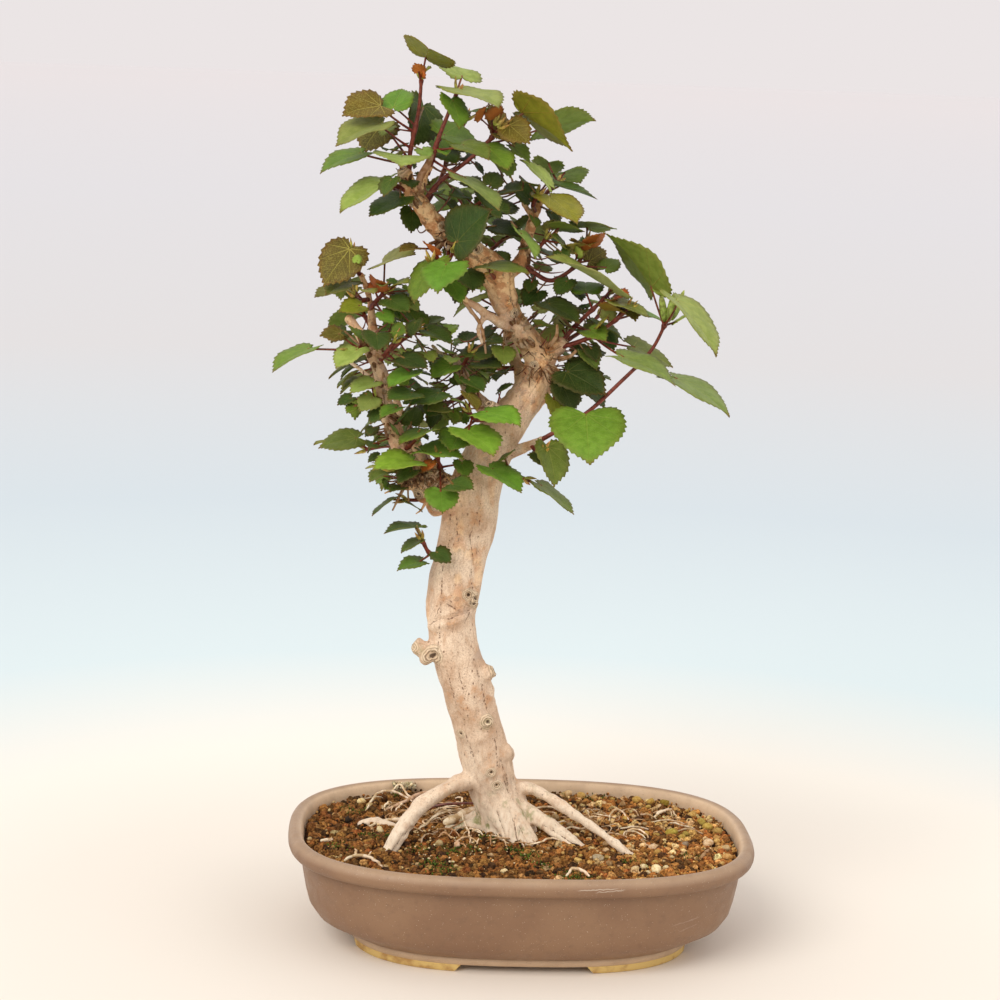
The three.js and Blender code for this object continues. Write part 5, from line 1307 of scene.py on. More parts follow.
def add_blade(build, leaf, kind, draw):
    grid, faces, loop = next(plan for least, plan in PLANS if leaf.length >= least)
    u, v, share = grid.T
    lean, phase = 0.08 * (draw() - 0.5), 6.3 * draw()
    wave, droop = 0.012 + 0.02 * draw(), 0.03 + 0.07 * draw()
    v = v * (1 + lean * np.sign(v)) + 0.05 * (draw() - 0.5) * np.clip(u, 0, 1) ** 2
    angle = np.degrees(np.arctan2(np.abs(v), u + 1e-9))
    reach = np.hypot(u, v)
    quilt = np.zeros(len(u))
    for vein, _ in VEINS:
        off = np.radians(angle - vein)
        quilt = np.maximum(quilt, bell(reach * np.sin(off), 0.045) * (np.cos(off) > 0))
    lift = -0.014 * quilt * np.clip(reach * 4, 0, 1) * (1 - 0.6 * share)
    lift += wave * share ** 2 * np.sin(np.radians(angle) * 5 * np.sign(v + 1e-9) + phase)
    lift -= droop * np.clip(u - 0.35, 0, 1) ** 2 * 1.6
    lift -= 0.06 * np.clip(-u, 0, 1) * share
    rise, half = lift * leaf.length, BLADE_THICK / 2
    amount, turn = 0.88 + 0.24 * draw(), 0.1 * (draw() - 0.5)
    upper, lower = (linear(shade(c, amount, turn)) for c in KINDS[kind][:2])
    blush = 0.5 if kind in ("bronze", "orange", "olive") else 0.28
    edge = np.clip(share ** 7 * blush + smooth_step(0.86, 1.0, u) * 0.6, 0, 1)[:, None]
    flat = np.stack([u, v, np.full(len(u), KINDS[kind][2])], axis=1)
    first, size = build.count, len(grid)
    build.add(leaf.at(u, v, rise + half), faces, upper * (1 - edge) + linear(SCORCH) * edge, 1,
              flat)
    build.add(leaf.at(u, v, rise - half), [face[::-1] for face in faces],
              lower * (1 - edge) + linear(SCORCH_UNDER) * edge, 2, flat)
    for a, b in zip(loop, loop[1:] + loop[:1]):
        build.faces.append([first + b, first + a, first + size + a, first + size + b])
        build.slots.append(1)


def blend_colour(first, second, share):
    return [a + (b - a) * share for a, b in zip(first, second)]


def add_tube(build, path, sides, steps, first, last):
    """A tube whose colour runs from first to last."""
    points, faces = tube(path, sides, steps)
    share = np.concatenate([np.repeat(np.arange(steps + 1) / steps, sides), [0.0, 1.0]])
    build.add(points, faces, linear(first) * (1 - share[:, None]) + linear(last) * share[:, None])


def add_stalk(build, path, across, draw, red, radius=1.0):
    """A leaf's stalk: a slight bow, thicker where it leaves the stem and under the blade."""
    start, end = path
    run = end - start
    reach = np.linalg.norm(run)
    bow = unit(np.cross(run, across) + 1e-6) * reach * 0.05 * (draw() - 0.3)
    stations = []
    for t, r in ((0, 0.95), (0.12, 0.76), (0.4, 0.64), (0.75, 0.6), (0.93, 0.68), (1, 0.55)):
        stations.append((*(start + run * t + bow * 4 * t * (1 - t)), r * radius))
    green = 0.25 + 0.3 * draw() if red else 0.75
    add_tube(build, stations, 6, 6 + int(reach / 4), STALK_RED if red else WOODY,
             blend_colour(STALK_RED, STALK_GREEN, green))


def add_bud(build, tip, ahead, draw, size):
    """Folded young leaves and stipules at the tip of a shoot."""
    side = unit(np.cross(ahead, (0.2, -0.9, 0.4)))
    other = np.cross(ahead, side)
    turn = 6.3 * draw()
    for i in range(3):
        a = turn + i * 2.1
        way = side * math.cos(a) + other * math.sin(a)
        base = tip + way * 0.5
        reach = size * (4.5 + 3.5 * draw())
        bend = unit(ahead + way * (0.2 + 0.35 * draw())) * reach
        middle = base + bend * 0.5 + way * 0.3
        end = base + bend
        path = [(*base, 0.5 * size), (*((base + middle) / 2), 0.85 * size), (*middle, 0.8 * size),
                (*((middle + end) / 2), 0.5 * size), (*end, 0.12)]
        green = shade(KINDS["bud"][i % 2], 0.9 + 0.2 * draw(), 0.1 * (draw() - 0.5))
        add_tube(build, path, 6, 8, green, shade(green, 0.9, 0.2))


def add_stem(build, shoot, draw):
    """The stem of a shoot, swollen where stalks leave it, and the bud at its tip."""
    stem = shoot.stem
    steps = 6 + int(shoot.reach / 1.6)
    starts = [grown["path"][0] for grown in shoot.grown]
    path = []
    for i in range(steps + 1):
        at = np.array(on_path(stem, i / steps))
        radius = STEM_BASE + (STEM_TIP - STEM_BASE) * (i / steps)
        for start in starts:
            radius += 0.3 * math.exp(-(((at - start) @ (at - start)) / 2.2))
        path.append((*at, min(radius, STEM_MOST)))
    add_tube(build, path, 9, steps, blend_colour(WOODY, STALK_RED, 0.7),
             blend_colour(STALK_RED, STALK_GREEN, 0.2))
    tip = np.array(stem[-1], float)
    before = np.array(on_path(stem, 1 - 0.5 / (len(stem) - 1)))
    add_bud(build, tip, unit(tip - before), draw, 1.15)


def spun(row, draw):
    """A row with its leaf turned, resized and rolled a little."""
    turn = 1.1 * (draw() - 0.5)
    c, s = math.cos(turn), math.sin(turn)
    size = 0.78 + 0.3 * draw()
    jx, jy, jz, tx, ty, tz, roll, kind = row
    dx, dz = tx - jx, tz - jz
    return (jx, jy, jz, jx + size * (dx * c - dz * s), jy + size * (ty - jy),
            jz + size * (dx * s + dz * c), roll + 30 * (draw() - 0.5), kind)


# The shoots of the list come first, in its order
for shoot, (name, stem, rows, small) in zip(shoots, SHOOTS):
    for row in small:
        settle(shoot, spun(row, look_draw), look_draw, 0.5)

for shoot in shoots:
    build = Build()
    add_stem(build, shoot, look_draw)
    for grown in shoot.grown:
        leaf, kind = grown["leaf"], grown["kind"]
        add_stalk(build, grown["path"], leaf.across, look_draw, kind not in ("dark", "deep"))
        add_blade(build, leaf, kind, look_draw)
    build.piece(shoot.name + "_leaves", leaf_skins, "leaf", [shoot.name])

# Small leaves that fill the crown: middle of a cluster, its reach and how many
CLUSTERS = [
    ((-93, -2, 332), (16, 14, 26), 12), ((-86, 2, 362), (14, 14, 14), 10),
    ((-58, -2, 320), (22, 14, 20), 22), ((-38, 2, 332), (18, 14, 16), 14),
    ((-78, -6, 284), (16, 14, 20), 18), ((8, 14, 398), (20, 14, 22), 16),
    ((20, 12, 350), (22, 16, 26), 24), ((10, 12, 322), (18, 12, 14), 10),
    ((-30, 6, 440), (26, 16, 18), 14), ((-72, -2, 446), (16, 14, 18), 10),
    ((-50, 24, 400), (26, 18, 30), 14), ((-20, 34, 350), (28, 18, 26), 14),
    ((-80, 22, 320), (16, 16, 30), 12),
]
# Young leaves at the tips of shoots: joint, tip, roll and kind
YOUNG = [
    ((-71, -9, 492), (-75, -12, 499), 20, "orange"), ((-70, -7, 493), (-66, -12, 497), -30, "bud"),
    ((-38, -17, 470), (-35, -21, 478), -20, "orange"), ((-31, -15, 470), (-27, -20, 478), 10, "orange"),
    ((28, 2, 400), (31, -9, 409), -15, "orange"), ((22, 6, 401), (26, -8, 402), 5, "bronze"),
    ((39, -9, 371), (48, -20, 376), -25, "orange"), ((36, -9, 366), (47, -18, 366), 20, "bronze"),
    ((-92, -6, 374), (-93, -16, 381), 30, "orange"), ((-62, -18, 396), (-67, -26, 402), 20, "orange"),
    ((-103, 1, 387), (-103.5, -3, 391), 10, "bud"), ((20, 6, 396), (13, -5, 402), -10, "bud"),
]
# Folded stipules: base and tip
STIPULES = [
    ((-30, -16, 467), (-25, -20, 475)), ((22, 4, 395), (17, -8, 403)),
    ((-63, -20, 391), (-66, -24, 400)), ((-107, 2, 388), (-102, 2, 395)),
    ((-28, -14, 465), (-22, -17, 470)), ((70, -13, 361), (74, -17, 368)),
]
# How far from its twig a small leaf may stand, and how far it keeps from the left limb as it
# is seen from the front, from the wood and from another blade
TWIG_LEAST, TWIG_MOST, LIMB_CLEAR, SMALL_WOOD_CLEAR, SMALL_CLEAR = 2.5, 15, 8, 0.5, 1.5
# Blades whose joints are further apart than this aren't compared
SMALL_REACH = 34


def scatter(draw, centre, reach):
    """A point drawn from a box round centre."""
    return np.array(centre) + np.array(reach) * (np.array([draw(), draw(), draw()]) * 2 - 1)


def inner_leaves():
    """Small dark leaves on short stalks from the twigs, kept clear of the others."""
    draw = draws_from(5153)
    build = Build()
    twigs = np.concatenate([shoot.samples for shoot in shoots])
    carriers = np.concatenate([balls[balls[:, 2] > 245], np.insert(twigs, 3, 1.0, axis=1)])
    # The left limb shows between the leaves
    shown = np.array([on_path(LIMBS["left_limb"][4:], i / 40) for i in range(41)])
    for centre, reach, count in CLUSTERS:
        grown, tries = 0, 0
        while grown < count and tries < 5 * count:
            tries += 1
            joint = scatter(draw, centre, reach)
            away = gaps(carriers, joint)
            carrier = carriers[np.argmin(away)]
            heading = unit(joint - carrier[:3] + (0, -2, 0))
            length = 7 + 7 * draw()
            droop = np.array([draw() - 0.5, -0.4 - 0.9 * draw(), -0.9 * draw() + 0.1])
            tip = joint + unit(heading + droop) * length
            roll = -30 + 60 * draw()
            kind = ("dark", "green", "dark", "light", "dull", "deep", "green")[int(7 * draw())]
            fold, arch = 0.06 + 0.25 * draw(), 0.05 + 0.12 * draw()
            if not TWIG_LEAST <= away.min() <= TWIG_MOST:
                continue
            leaf = Leaf((*joint, *tip, roll), fold, arch)
            samples = blade_samples(leaf)
            spots = np.array([joint, (joint + tip) / 2, tip])[:, None]
            past = np.hypot(spots[..., 0] - shown[:, 0], spots[..., 2] - shown[:, 2])
            if in_wood(samples, SMALL_WOOD_CLEAR) or past.min() < LIMB_CLEAR:
                continue
            if any(np.linalg.norm(joint - other["leaf"].joint) < SMALL_REACH
                   and near(samples, other["samples"], SMALL_CLEAR) for other in placed):
                continue
            placed.append({"leaf": leaf, "samples": samples})
            start = carrier[:3] + heading * max(0.0, carrier[3] - 1.2)
            path = [start, leaf.at(STALK_SINK / length, 0.0)]
            add_stalk(build, path, leaf.across, draw, draw() < 0.5, 0.72)
            add_blade(build, leaf, kind, draw)
            grown += 1
    build.piece("inner_leaves", leaf_skins, "leaf")


def young_leaves():
    """Unfolding leaves, folded stipules, and bare twigs among the inner leaves."""
    draw = draws_from(1993)
    build = Build()
    carriers = np.concatenate([balls[:, :3]] + [shoot.samples for shoot in shoots])
    for joint, tip, roll, kind in YOUNG:
        start = carriers[np.argmin(np.linalg.norm(carriers - np.array(joint, float), axis=1))]
        leaf = Leaf((*joint, *tip, roll), 0.3, 0.1)
        add_stalk(build, [start, leaf.at(0.02, 0.0)], leaf.across, draw, True, 0.7)
        add_blade(build, leaf, kind, draw)
    for centre, reach, count in CLUSTERS:
        for _ in range(count // 2 + 2):
            aim = scatter(draw, centre, reach)
            start = balls[np.argmin(gaps(balls, aim))][:3]
            run = aim - start
            if not 6 < np.linalg.norm(run) < 26:
                continue
            bow = np.array([draw() - 0.5, draw() - 0.5, -draw()]) * 5
            path = [(*(start + run * t + bow * 4 * t * (1 - t)), r)
                    for t, r in ((0, 0.75), (0.35, 0.5), (0.7, 0.42), (1, 0.2))]
            add_tube(build, path, 6, 10, WOODY, STALK_RED)
    for base, tip in STIPULES:
        base, tip = np.array(base, float), np.array(tip, float)
        add_bud(build, base, unit(tip - base), draw, 1.25)
    build.piece("young_leaves", leaf_skins, "leaf")


inner_leaves()
young_leaves()

clay = clay_look()
POT_COLUMNS, BED_COLUMNS, PAD_COLUMNS, DRILL_SIDES = 176, 120, 41, 40
FINE_ANGLES = 2 * np.pi * np.arange(4001) / 4000


def outline(inset, z, angles):
    """A superellipse ring of the pot, inset from the rim; the ends draw in towards the foot."""
    low = min(1.0, max(0.0, (TUCK_TOP - z) / (TUCK_TOP - TUCK_FOOT)))
    a, b = POT_LENGTH / 2 - inset - END_TUCK * low * low * (3 - 2 * low), POT_DEPTH / 2 - inset
    c, s = np.cos(angles), np.sin(angles)
    x = a * np.sign(c) * np.abs(c) ** (2 / POT_POWER)
    y = b * np.sign(s) * np.abs(s) ** (2 / POT_POWER)
    return np.stack([x, y, np.full(len(angles), float(z))], axis=1)


# (inset, height) from under the pot, up the wall, over the lip and down to the floor
POT_PROFILE = [
    (60, 7.5), (32, 7.5), (26, 7.8), (22.6, 8.9), (20, 10.6), (17, 13.6), (14.5, 17), (12.3, 23),
    (10.5, 30), (9, 38), (7.9, 45), (7.6, 48.4), (7.7, 50), (7.4, 50.7), (6.2, 51.1), (3.6, 51.5),
    (1.9, 52.3), (0.8, 53.6), (0.2, 55.3), (0.1, 57), (0.5, 58.8), (1.4, 60.4), (2.7, 61.5),
    (4.2, 61.9), (5.8, 61.7), (7.2, 60.9), (8.2, 59.4), (8.7, 57), (9.4, 52), (10.4, 46),
    (14.5, 25), (22, 16.4), (30, 15.1), (60, 15),
]
# The same for the section of the dark band under the bowl, and of the bare pads
BAND_PROFILE = [(38.5, 8.2), (39, 4.6), (38.4, 4), (25.3, 4), (24.7, 4.6), (24.1, 9.2)]
PAD_PROFILE = [
    (25.2, 4.2), (25.0, 3.4), (25.1, 0.8), (25.7, 0.0), (38.6, 0.0), (39.2, 0.6), (39.4, 3.6),
    (39.2, 4.2),
]


def run_along(points):
    """The way along a line of points to each of them."""
    return np.concatenate([[0], np.cumsum(np.linalg.norm(np.diff(points, axis=0), axis=1))])


def pot_angles(columns):
    """Angles whose points lie at even distances along the outline."""
    run = run_along(outline(0, POT_HEIGHT, FINE_ANGLES))
    return np.interp(run[-1] * np.arange(columns) / columns, run, FINE_ANGLES)


def make_pot():
    angles = pot_angles(POT_COLUMNS)
    rings = [outline(inset, z, angles) for inset, z in POT_PROFILE]
    points, faces = capped(rings, (0, 0, POT_UNDER), (0, 0, POT_FLOOR))
    bowl = linked("bowl", new_mesh("bowl", metres(points), faces))
    drills = []
    for x in (-DRAIN_SPACING, DRAIN_SPACING):
        points, faces = tube([(x, 0, z, DRAIN_RADIUS) for z in (2, 22)], DRILL_SIDES, 2)
        drills.append(linked("drill", new_mesh("drill", metres(points), faces)))
        cut = bowl.modifiers.new("drill", "BOOLEAN")
        cut.operation, cut.object = "DIFFERENCE", drills[-1]
    mesh = evaluated(bowl, "pot_bowl")
    for drill in drills:
        remove(drill)
    dress(mesh, clay)
    mesh.shade_smooth()
    mesh.set_sharp_from_angle(angle=math.radians(50))
    at = millimetres(read_vectors(mesh.vertices, "co"))
    out = read_vectors(mesh.vertex_normals, "vector")
    inward = -(out[:, :2] * at[:, :2]).sum(axis=1) / np.hypot(at[:, 0], at[:, 1])
    # Painted light: the inner wall above the floor is painted paler as if lit, and the top of the lip
    # carries a painted highlight
    inside = smooth_step(0.1, 0.5, inward) * (at[:, 2] > 14)
    lip = 0.34 * smooth_step(56.5, 61, at[:, 2])
    add_layer(mesh, "lit_and_worn", "FLOAT", np.maximum(inside, lip))
    place(mesh, "pot_bowl", ["pot"])


def make_feet():
    """The dark band under the bowl and four bare pads with sloped ends."""
    build = Build()
    angles = pot_angles(POT_COLUMNS)
    points = np.concatenate([outline(inset, z, angles) for inset, z in BAND_PROFILE])
    faces = np.array(grid_faces(len(BAND_PROFILE) + 1, POT_COLUMNS)) % len(points)
    build.add(points, faces.tolist())
    band = build.piece("pot_band", [clay], "clay", ["pot"])
    # The whole band is mixed 0.6 of the way towards the paler clay
    add_layer(band.data, "lit_and_worn", "FLOAT", np.full(len(points), 0.6))
    build = Build()
    for right, back in ((1, 1), (-1, 1), (-1, -1), (1, -1)):
        rings = []
        for inset, z in PAD_PROFILE:
            ring = outline(inset, z, FINE_ANGLES)
            slope = 2 - 0.9 * z
            keep = (right * ring[:, 0] > FOOT_GAP_X / 2 + slope)
            keep &= (back * ring[:, 1] > FOOT_GAP_Y / 2 + slope)
            part = ring[keep]
            run = run_along(part)
            at = run[-1] * np.arange(PAD_COLUMNS) / (PAD_COLUMNS - 1)
            rings.append(np.stack([np.interp(at, run, part[:, i]) for i in range(3)], axis=1))
        starts = [r * PAD_COLUMNS for r in range(len(rings))]
        ends = [a + PAD_COLUMNS - 1 for a in starts]
        faces = []
        for a, b in zip(starts, starts[1:] + starts[:1]):
            faces += [[a + i, b + i, b + i + 1, a + i + 1] for i in range(PAD_COLUMNS - 1)]
        build.add(np.concatenate(rings), [*faces, starts[::-1], ends])
    feet = build.piece("pot_feet", [looks["foot"]], "clay", ["pot"])
    feet.data.set_sharp_from_angle(angle=math.radians(40))


make_pot()
make_feet()

SOIL_EDGE, SOIL_X, SOIL_Y, BED_DROP = 9.9, 125, 93, 1.5
# The outside of the bed as (inset, height), and where its top has rings from the rim inwards
BED_PROFILE = [(31, 15), (23, 16.8), (15.2, 25.4), (11, 46)]
BED_SHARES = (1, 0.96, 0.9, 0.83, 0.75, 0.67, 0.59, 0.51, 0.43, 0.35, 0.27, 0.19, 0.11, 0.04)


def soil_height(x, y):
    """Mean height of the soil's top."""
    share = np.clip(np.hypot(x / SOIL_X, y / SOIL_Y), 0, 1)
    mound = MOUND_RISE * np.exp(-((x + 8) ** 2 + y ** 2) / MOUND_SPREAD)
    return POT_HEIGHT - SOIL_DROP + mound + FRONT_RISE * np.maximum(0, -y / 90) * share


def inside_soil(x, y, margin):
    a, b = POT_LENGTH / 2 - SOIL_EDGE - margin, POT_DEPTH / 2 - SOIL_EDGE - margin
    return (np.abs(x) / a) ** POT_POWER + (np.abs(y) / b) ** POT_POWER < 1


def on_soil(x, y, over):
    return np.array([x, y, float(soil_height(x, y)) + over])


def make_bed():
    build = Build()
    angles = pot_angles(BED_COLUMNS)
    rings = [outline(inset + GAP, z + GAP, angles) for inset, z in BED_PROFILE]
    rim = outline(SOIL_EDGE, POT_HEIGHT, angles)
    for share in BED_SHARES:
        ring = rim * share
        ring[:, 2] = soil_height(ring[:, 0], ring[:, 1]) - BED_DROP
        ring[:, 2] += 0.7 * lattice_noise(ring, 5, 61)
        rings.append(ring)
    build.add(*capped(rings, (0, 0, POT_FLOOR + GAP), on_soil(0.0, 0.0, -BED_DROP)))
    build.piece("soil_bed", [looks["soil_bed"]], "soil", ["soil"])


def ball_plan(levels):
    """Points and faces of a ball made by splitting an icosahedron."""
    made = bmesh.new()
    bmesh.ops.create_icosphere(made, subdivisions=levels, radius=1.0)
    made.verts.index_update()
    points = np.array([point.co[:] for point in made.verts])
    faces = [[point.index for point in face.verts] for face in made.faces]
    made.free()
    return points, faces


ROUGH_BALL, FINE_BALL = ball_plan(1), ball_plan(2)
# The wood near the soil
wood_balls = np.array(balls_along([TRUNK[:6], *ROOTS.values()], ROOT_BALL_STEP))
# Colours of the grains and how common each is; the last two are rarer on the left
GRAIN_TINTS = [
    ((168, 118, 62), 24), ((148, 100, 50), 26), ((116, 80, 42), 20), ((78, 54, 32), 12),
    ((158, 98, 50), 8), ((190, 148, 88), 13), ((214, 184, 130), 7),
]
PALE_GRAIN = (206, 172, 118)
# Share of the grains left out, and of the pale ones at the back on the right
SKIP_SHARE, PALE_SHARE = 0.03, 0.2
# Distance between grains, rows and columns either side of the middle, and loose fines
GRAIN_PITCH, GRAIN_ROWS, GRAIN_COLUMNS, FINE_TRIES = 4.3, 24, 30, 3400


def pick_tint(draw, tints):
    left = draw() * sum(weight for tint, weight in tints)
    for tint, weight in tints:
        left -= weight
        if left <= 0:
            return tint
    return tints[-1][0]


def add_grain(build, at, size, tint, draw, plan):
    points, faces = plan
    turn, x, y, z = 6.3 * draw(), draw() - 0.5, draw() - 0.5, draw() - 0.49
    turn = np.array(Matrix.Rotation(turn, 3, Vector((x, y, z))))
    shape = points * (size * (0.82 + 0.36 * draw()), size * (0.82 + 0.36 * draw()),
                      size * (0.75 + 0.3 * draw()))
    shape = shape @ turn.T
    bumps = 0.34 * lattice_noise(shape + at * 7.3, 0.66 * size, 71)
    amount = (0.85 + 0.3 * draw()) * (1 + 0.2 * smooth_step(-10, 90, at[0]))
    build.add(shape * (1 + bumps)[:, None] + at, faces,
              shade(tint, amount, 0.06 * (draw() - 0.5)))


def make_grains():
    draw = draws_from(3307)
    builds = {name: Build() for name in ("grains_left", "grains_right", "grains_fine")}
    for row in range(-GRAIN_ROWS, GRAIN_ROWS + 1):
        for column in range(-GRAIN_COLUMNS, GRAIN_COLUMNS + 1):
            x = (column + 0.5 * (row % 2) + 0.55 * (draw() - 0.5)) * GRAIN_PITCH
            y = (row * 0.866 + 0.5 * (draw() - 0.5)) * GRAIN_PITCH
            size = 1.75 + 1.4 * draw() ** 1.6
            at = on_soil(x, y, -1.1 + 1.7 * (draw() - 0.5))
            tint = pick_tint(draw, GRAIN_TINTS if x > 20 or draw() < 0.3 else GRAIN_TINTS[:5])
            skip = draw()
            if x > 30 and y > 20 and skip > 1 - PALE_SHARE:
                tint = PALE_GRAIN
            if not inside_soil(x, y, 0.8 * size) or skip < SKIP_SHARE:
                continue
            if gaps(wood_balls, at).min() >= -0.4 * size:
                side = "grains_left" if x < 0 else "grains_right"
                add_grain(builds[side], at, size, tint, draw, FINE_BALL)
    for _ in range(FINE_TRIES):
        x, y = (draw() * 2 - 1) * 126, (draw() * 2 - 1) * 94
        size = 0.55 + 0.6 * draw()
        at = on_soil(x, y, -0.2 + 2.0 * (draw() - 0.3))
        tint = pick_tint(draw, GRAIN_TINTS)
        if inside_soil(x, y, size) and gaps(wood_balls, at).min() >= 0:
            add_grain(builds["grains_fine"], at, size, tint, draw, ROUGH_BALL)
    for name, build in builds.items():
        build.piece(name, [looks["soil_grains"]], "soil", smooth=False)


make_bed()
make_grains()

wire = Build()
wire.add(*tube([(*p, WIRE_RADIUS * 0.96) for p in TIE_WIRE], 12, 90))
wire.piece("tie_wire_bent", [looks["wire"]], "wire", ["tie_wire"])
for name in ("drain_screen_left", "drain_screen_right"):
    dress(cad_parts[name].data, looks["plastic_mesh"])

CREAM, STRAW, TAN = (244, 228, 194), (214, 190, 152), (194, 160, 118)
STONE, WHITE = (186, 172, 144), (242, 234, 214)
# Fine roots on the soil: radius, colour and points as (x, y, height over the soil)
ROOTLETS = [
    (0.75, CREAM, [(-90, 42, 0.6), (-85, 58, 5), (-78, 66, 6), (-70, 64, 5), (-62, 54, 3)]),
    (0.6, CREAM, [(-75, 68, 4), (-70, 73, 8), (-65, 66, 4), (-60, 60, 1)]),
    (1.1, (206, 176, 146), [(-78, 42, 1), (-66, 54, 3), (-58, 66, 4), (-50, 78, 2), (-46, 84, 1)]),
    (0.9, CREAM, [(-88, 10, 0.4), (-79, 18, 1.6), (-70, 18, 2), (-62, 14, 0.5)]),
    (0.6, CREAM, [(-62, -2, 0.5), (-54, 9, 2), (-47, 24, 4), (-40, 28, 4), (-32, 20, 3)]),
    (0.55, CREAM, [(-58, 6, 1), (-50, 17, 3), (-42, 22, 5), (-34, 26, 4), (-26, 24, 2)]),
    (2.6, CREAM, [(-44, 10, -0.5), (-37, 16, 1), (-29, 22, 3), (-20, 22, 4)]),
    (0.5, CREAM, [(-34, 17, 6), (-33, 4, 4), (-31, -14, 2.5), (-30, -28, 0.6)]),
    (0.9, CREAM, [(-104, -62, -0.4), (-98, -54, 1.6), (-90, -55, 2.4), (-84, -62, 1.4), (-81, -68, 0)]),
    (0.7, CREAM, [(-95, -54, 1.8), (-96, -46, 3.6)]), (0.4, CREAM, [(-89, -55, 2), (-87, -51, 4)]),
    (0.6, CREAM, [(8, 40, 1), (15, 45, 2.5), (22, 46, 2.5), (30, 36, 1)]),
    (0.6, CREAM, [(24, 0, 1), (30, 4, 2), (35, 3, 2), (41, 10, 1)]),
    (0.8, CREAM, [(81, 38, 0.6), (88, 48, 2), (95, 57, 1)]),
    (0.6, CREAM, [(60, 14, 0.8), (69, 16, 1.8), (77, 15, 0.6)]),
    (0.55, CREAM, [(54, 28, 0.6), (58, 44, 3), (63, 44, 3), (67, 34, 0.6)]),
    (0.9, CREAM, [(21, -80, 0.5), (25, -73, 2.6), (30, -74, 2.4), (34, -80, 0.8)]),
    (1.1, TAN, [(101, -40, 0.8), (107, -27, 1.4)]), (1.0, CREAM, [(-116, -22, 1), (-109, -19, 1)]),
    (0.5, CREAM, [(2, -30, 1), (10, -28, 2), (16, -20, 2), (22, -18, 0.5)]),
]
# Stones on the soil: x, y, half size, colour and how long they are for their width
STONES = [
    (-46, 7, 3.6, TAN, 1.3), (-48, -27, 2.8, STONE, 1.4), (-38, -30, 2.6, (224, 204, 190), 1.5),
    (-13, -74, 2.2, WHITE, 1.4), (-122, -4, 3.6, (204, 172, 104), 1.2), (-82, 2, 2.8, WHITE, 1.5),
    (-93, 60, 2.8, CREAM, 1.2), (34, 86, 2.9, CREAM, 1.3), (42, 81, 3.3, (196, 168, 116), 1.4),
    (50, 78, 2.6, (188, 160, 112), 1.2), (76, 75, 3.6, (208, 178, 112), 1.3),
    (84, 72, 3, (196, 166, 100), 1.2), (92, 70, 3.2, (150, 132, 64), 1.3),
    (106, 46, 2.9, (202, 176, 116), 1.3), (110, 30, 3.6, (192, 176, 100), 1.2),
    (113, 22, 3.2, (204, 184, 108), 1.3), (118, 14, 3, (200, 170, 112), 1.2),
    (90, 9, 3.6, (190, 178, 96), 1.3), (95, 2, 2.4, (198, 182, 110), 1.2),
    (109, -11, 4, (226, 204, 188), 1.5), (118, -20, 2.8, (222, 202, 170), 1.2),
    (116, -38, 3.2, (206, 174, 124), 1.4), (76, -22, 3.2, (222, 200, 184), 1.4),
    (70, -18, 2.4, CREAM, 1.3), (95, -14, 2.8, (160, 154, 148), 1.5),
    (86, -30, 2.2, CREAM, 1.2), (98, 8, 2.2, (176, 164, 92), 1.2),
    (42, -46, 3.1, (196, 188, 180), 2.1), (66, -60, 2.4, WHITE, 1.3), (73, -64, 3.3, WHITE, 1.2),
    (61, -65, 3, (222, 208, 182), 1.3), (79, -60, 2.2, WHITE, 1.3), (68, -69, 1.7, WHITE, 1.2),
    (30, 12, 2.6, (150, 138, 120), 1.6), (22, 26, 3, (170, 156, 130), 1.3),
    (-66, 97, 2, STONE, 1.4), (-60, 92, 2.2, (206, 182, 170), 1.8), (-108, 30, 2, TAN, 1.3),
]
# Moss on the soil: x, y, reach and how many shoots
MOSS = [
    (-87, -8, 5, 50), (-49, -71, 6, 90), (-52, -60, 6, 80), (-41, -38, 6, 70), (-32, -36, 5, 60),
    (-5, -38, 5, 60), (-1, -46, 5, 50), (27, -78, 7, 110), (52, 80, 5, 40), (-106, -30, 5, 40),
    (-27, 2, 5, 70), (-18, -19, 4, 60), (-76, -10, 5, 50), (-60, -34, 5, 50), (-98, 44, 5, 50),
    (3, -44, 4, 40), (-70, 80, 5, 40), (10, -60, 4, 30), (96, -34, 4, 30), (62, -48, 4, 30),
]
# Middles of the patches where more fine roots are tried, and how many
ROOTLET_SPOTS = [(-46, 26), (-30, 12), (34, 26), (-62, 44), (-20, -6), (70, 20)]
ROOTLET_TRIES = 120
PEBBLE_TINTS = [(206, 178, 124), (188, 164, 104), (172, 150, 122), (214, 196, 166)]
LEFT_PEBBLE_TINTS = [(190, 160, 118), (206, 190, 160)]
HEAP_TINTS, CRUMB_TINT, MOSS_GREEN = [(220, 208, 176), STONE], (56, 46, 38), (92, 116, 36)
# How many small stones are tried on the right, on the left and by the trunk, and the crumbs
# in the heap at the back and by the far left root
RIGHT_PEBBLES, LEFT_PEBBLES, MIDDLE_CRUMBS, HEAP_CRUMBS, ROOT_CRUMBS = 110, 40, 120, 70, 5


def ground_tube(build, radius, tint, points, draw):
    path = []
    steps = 4 * (len(points) - 1)
    for i in range(steps + 1):
        x, y, over = on_path(points, i / steps)
        x, y = x + 0.9 * (draw() - 0.5), y + 0.9 * (draw() - 0.5)
        end = 0.6 + 0.4 * math.sin(math.pi * i / steps)
        path.append((*on_soil(x, y, over + 0.5 * radius), radius * end * (0.85 + 0.3 * draw())))
    first = shade(tint, 0.9 + 0.15 * draw())
    add_tube(build, path, 6, 3 * steps, first, shade(first, 0.85 + 0.2 * draw(), 0.03))


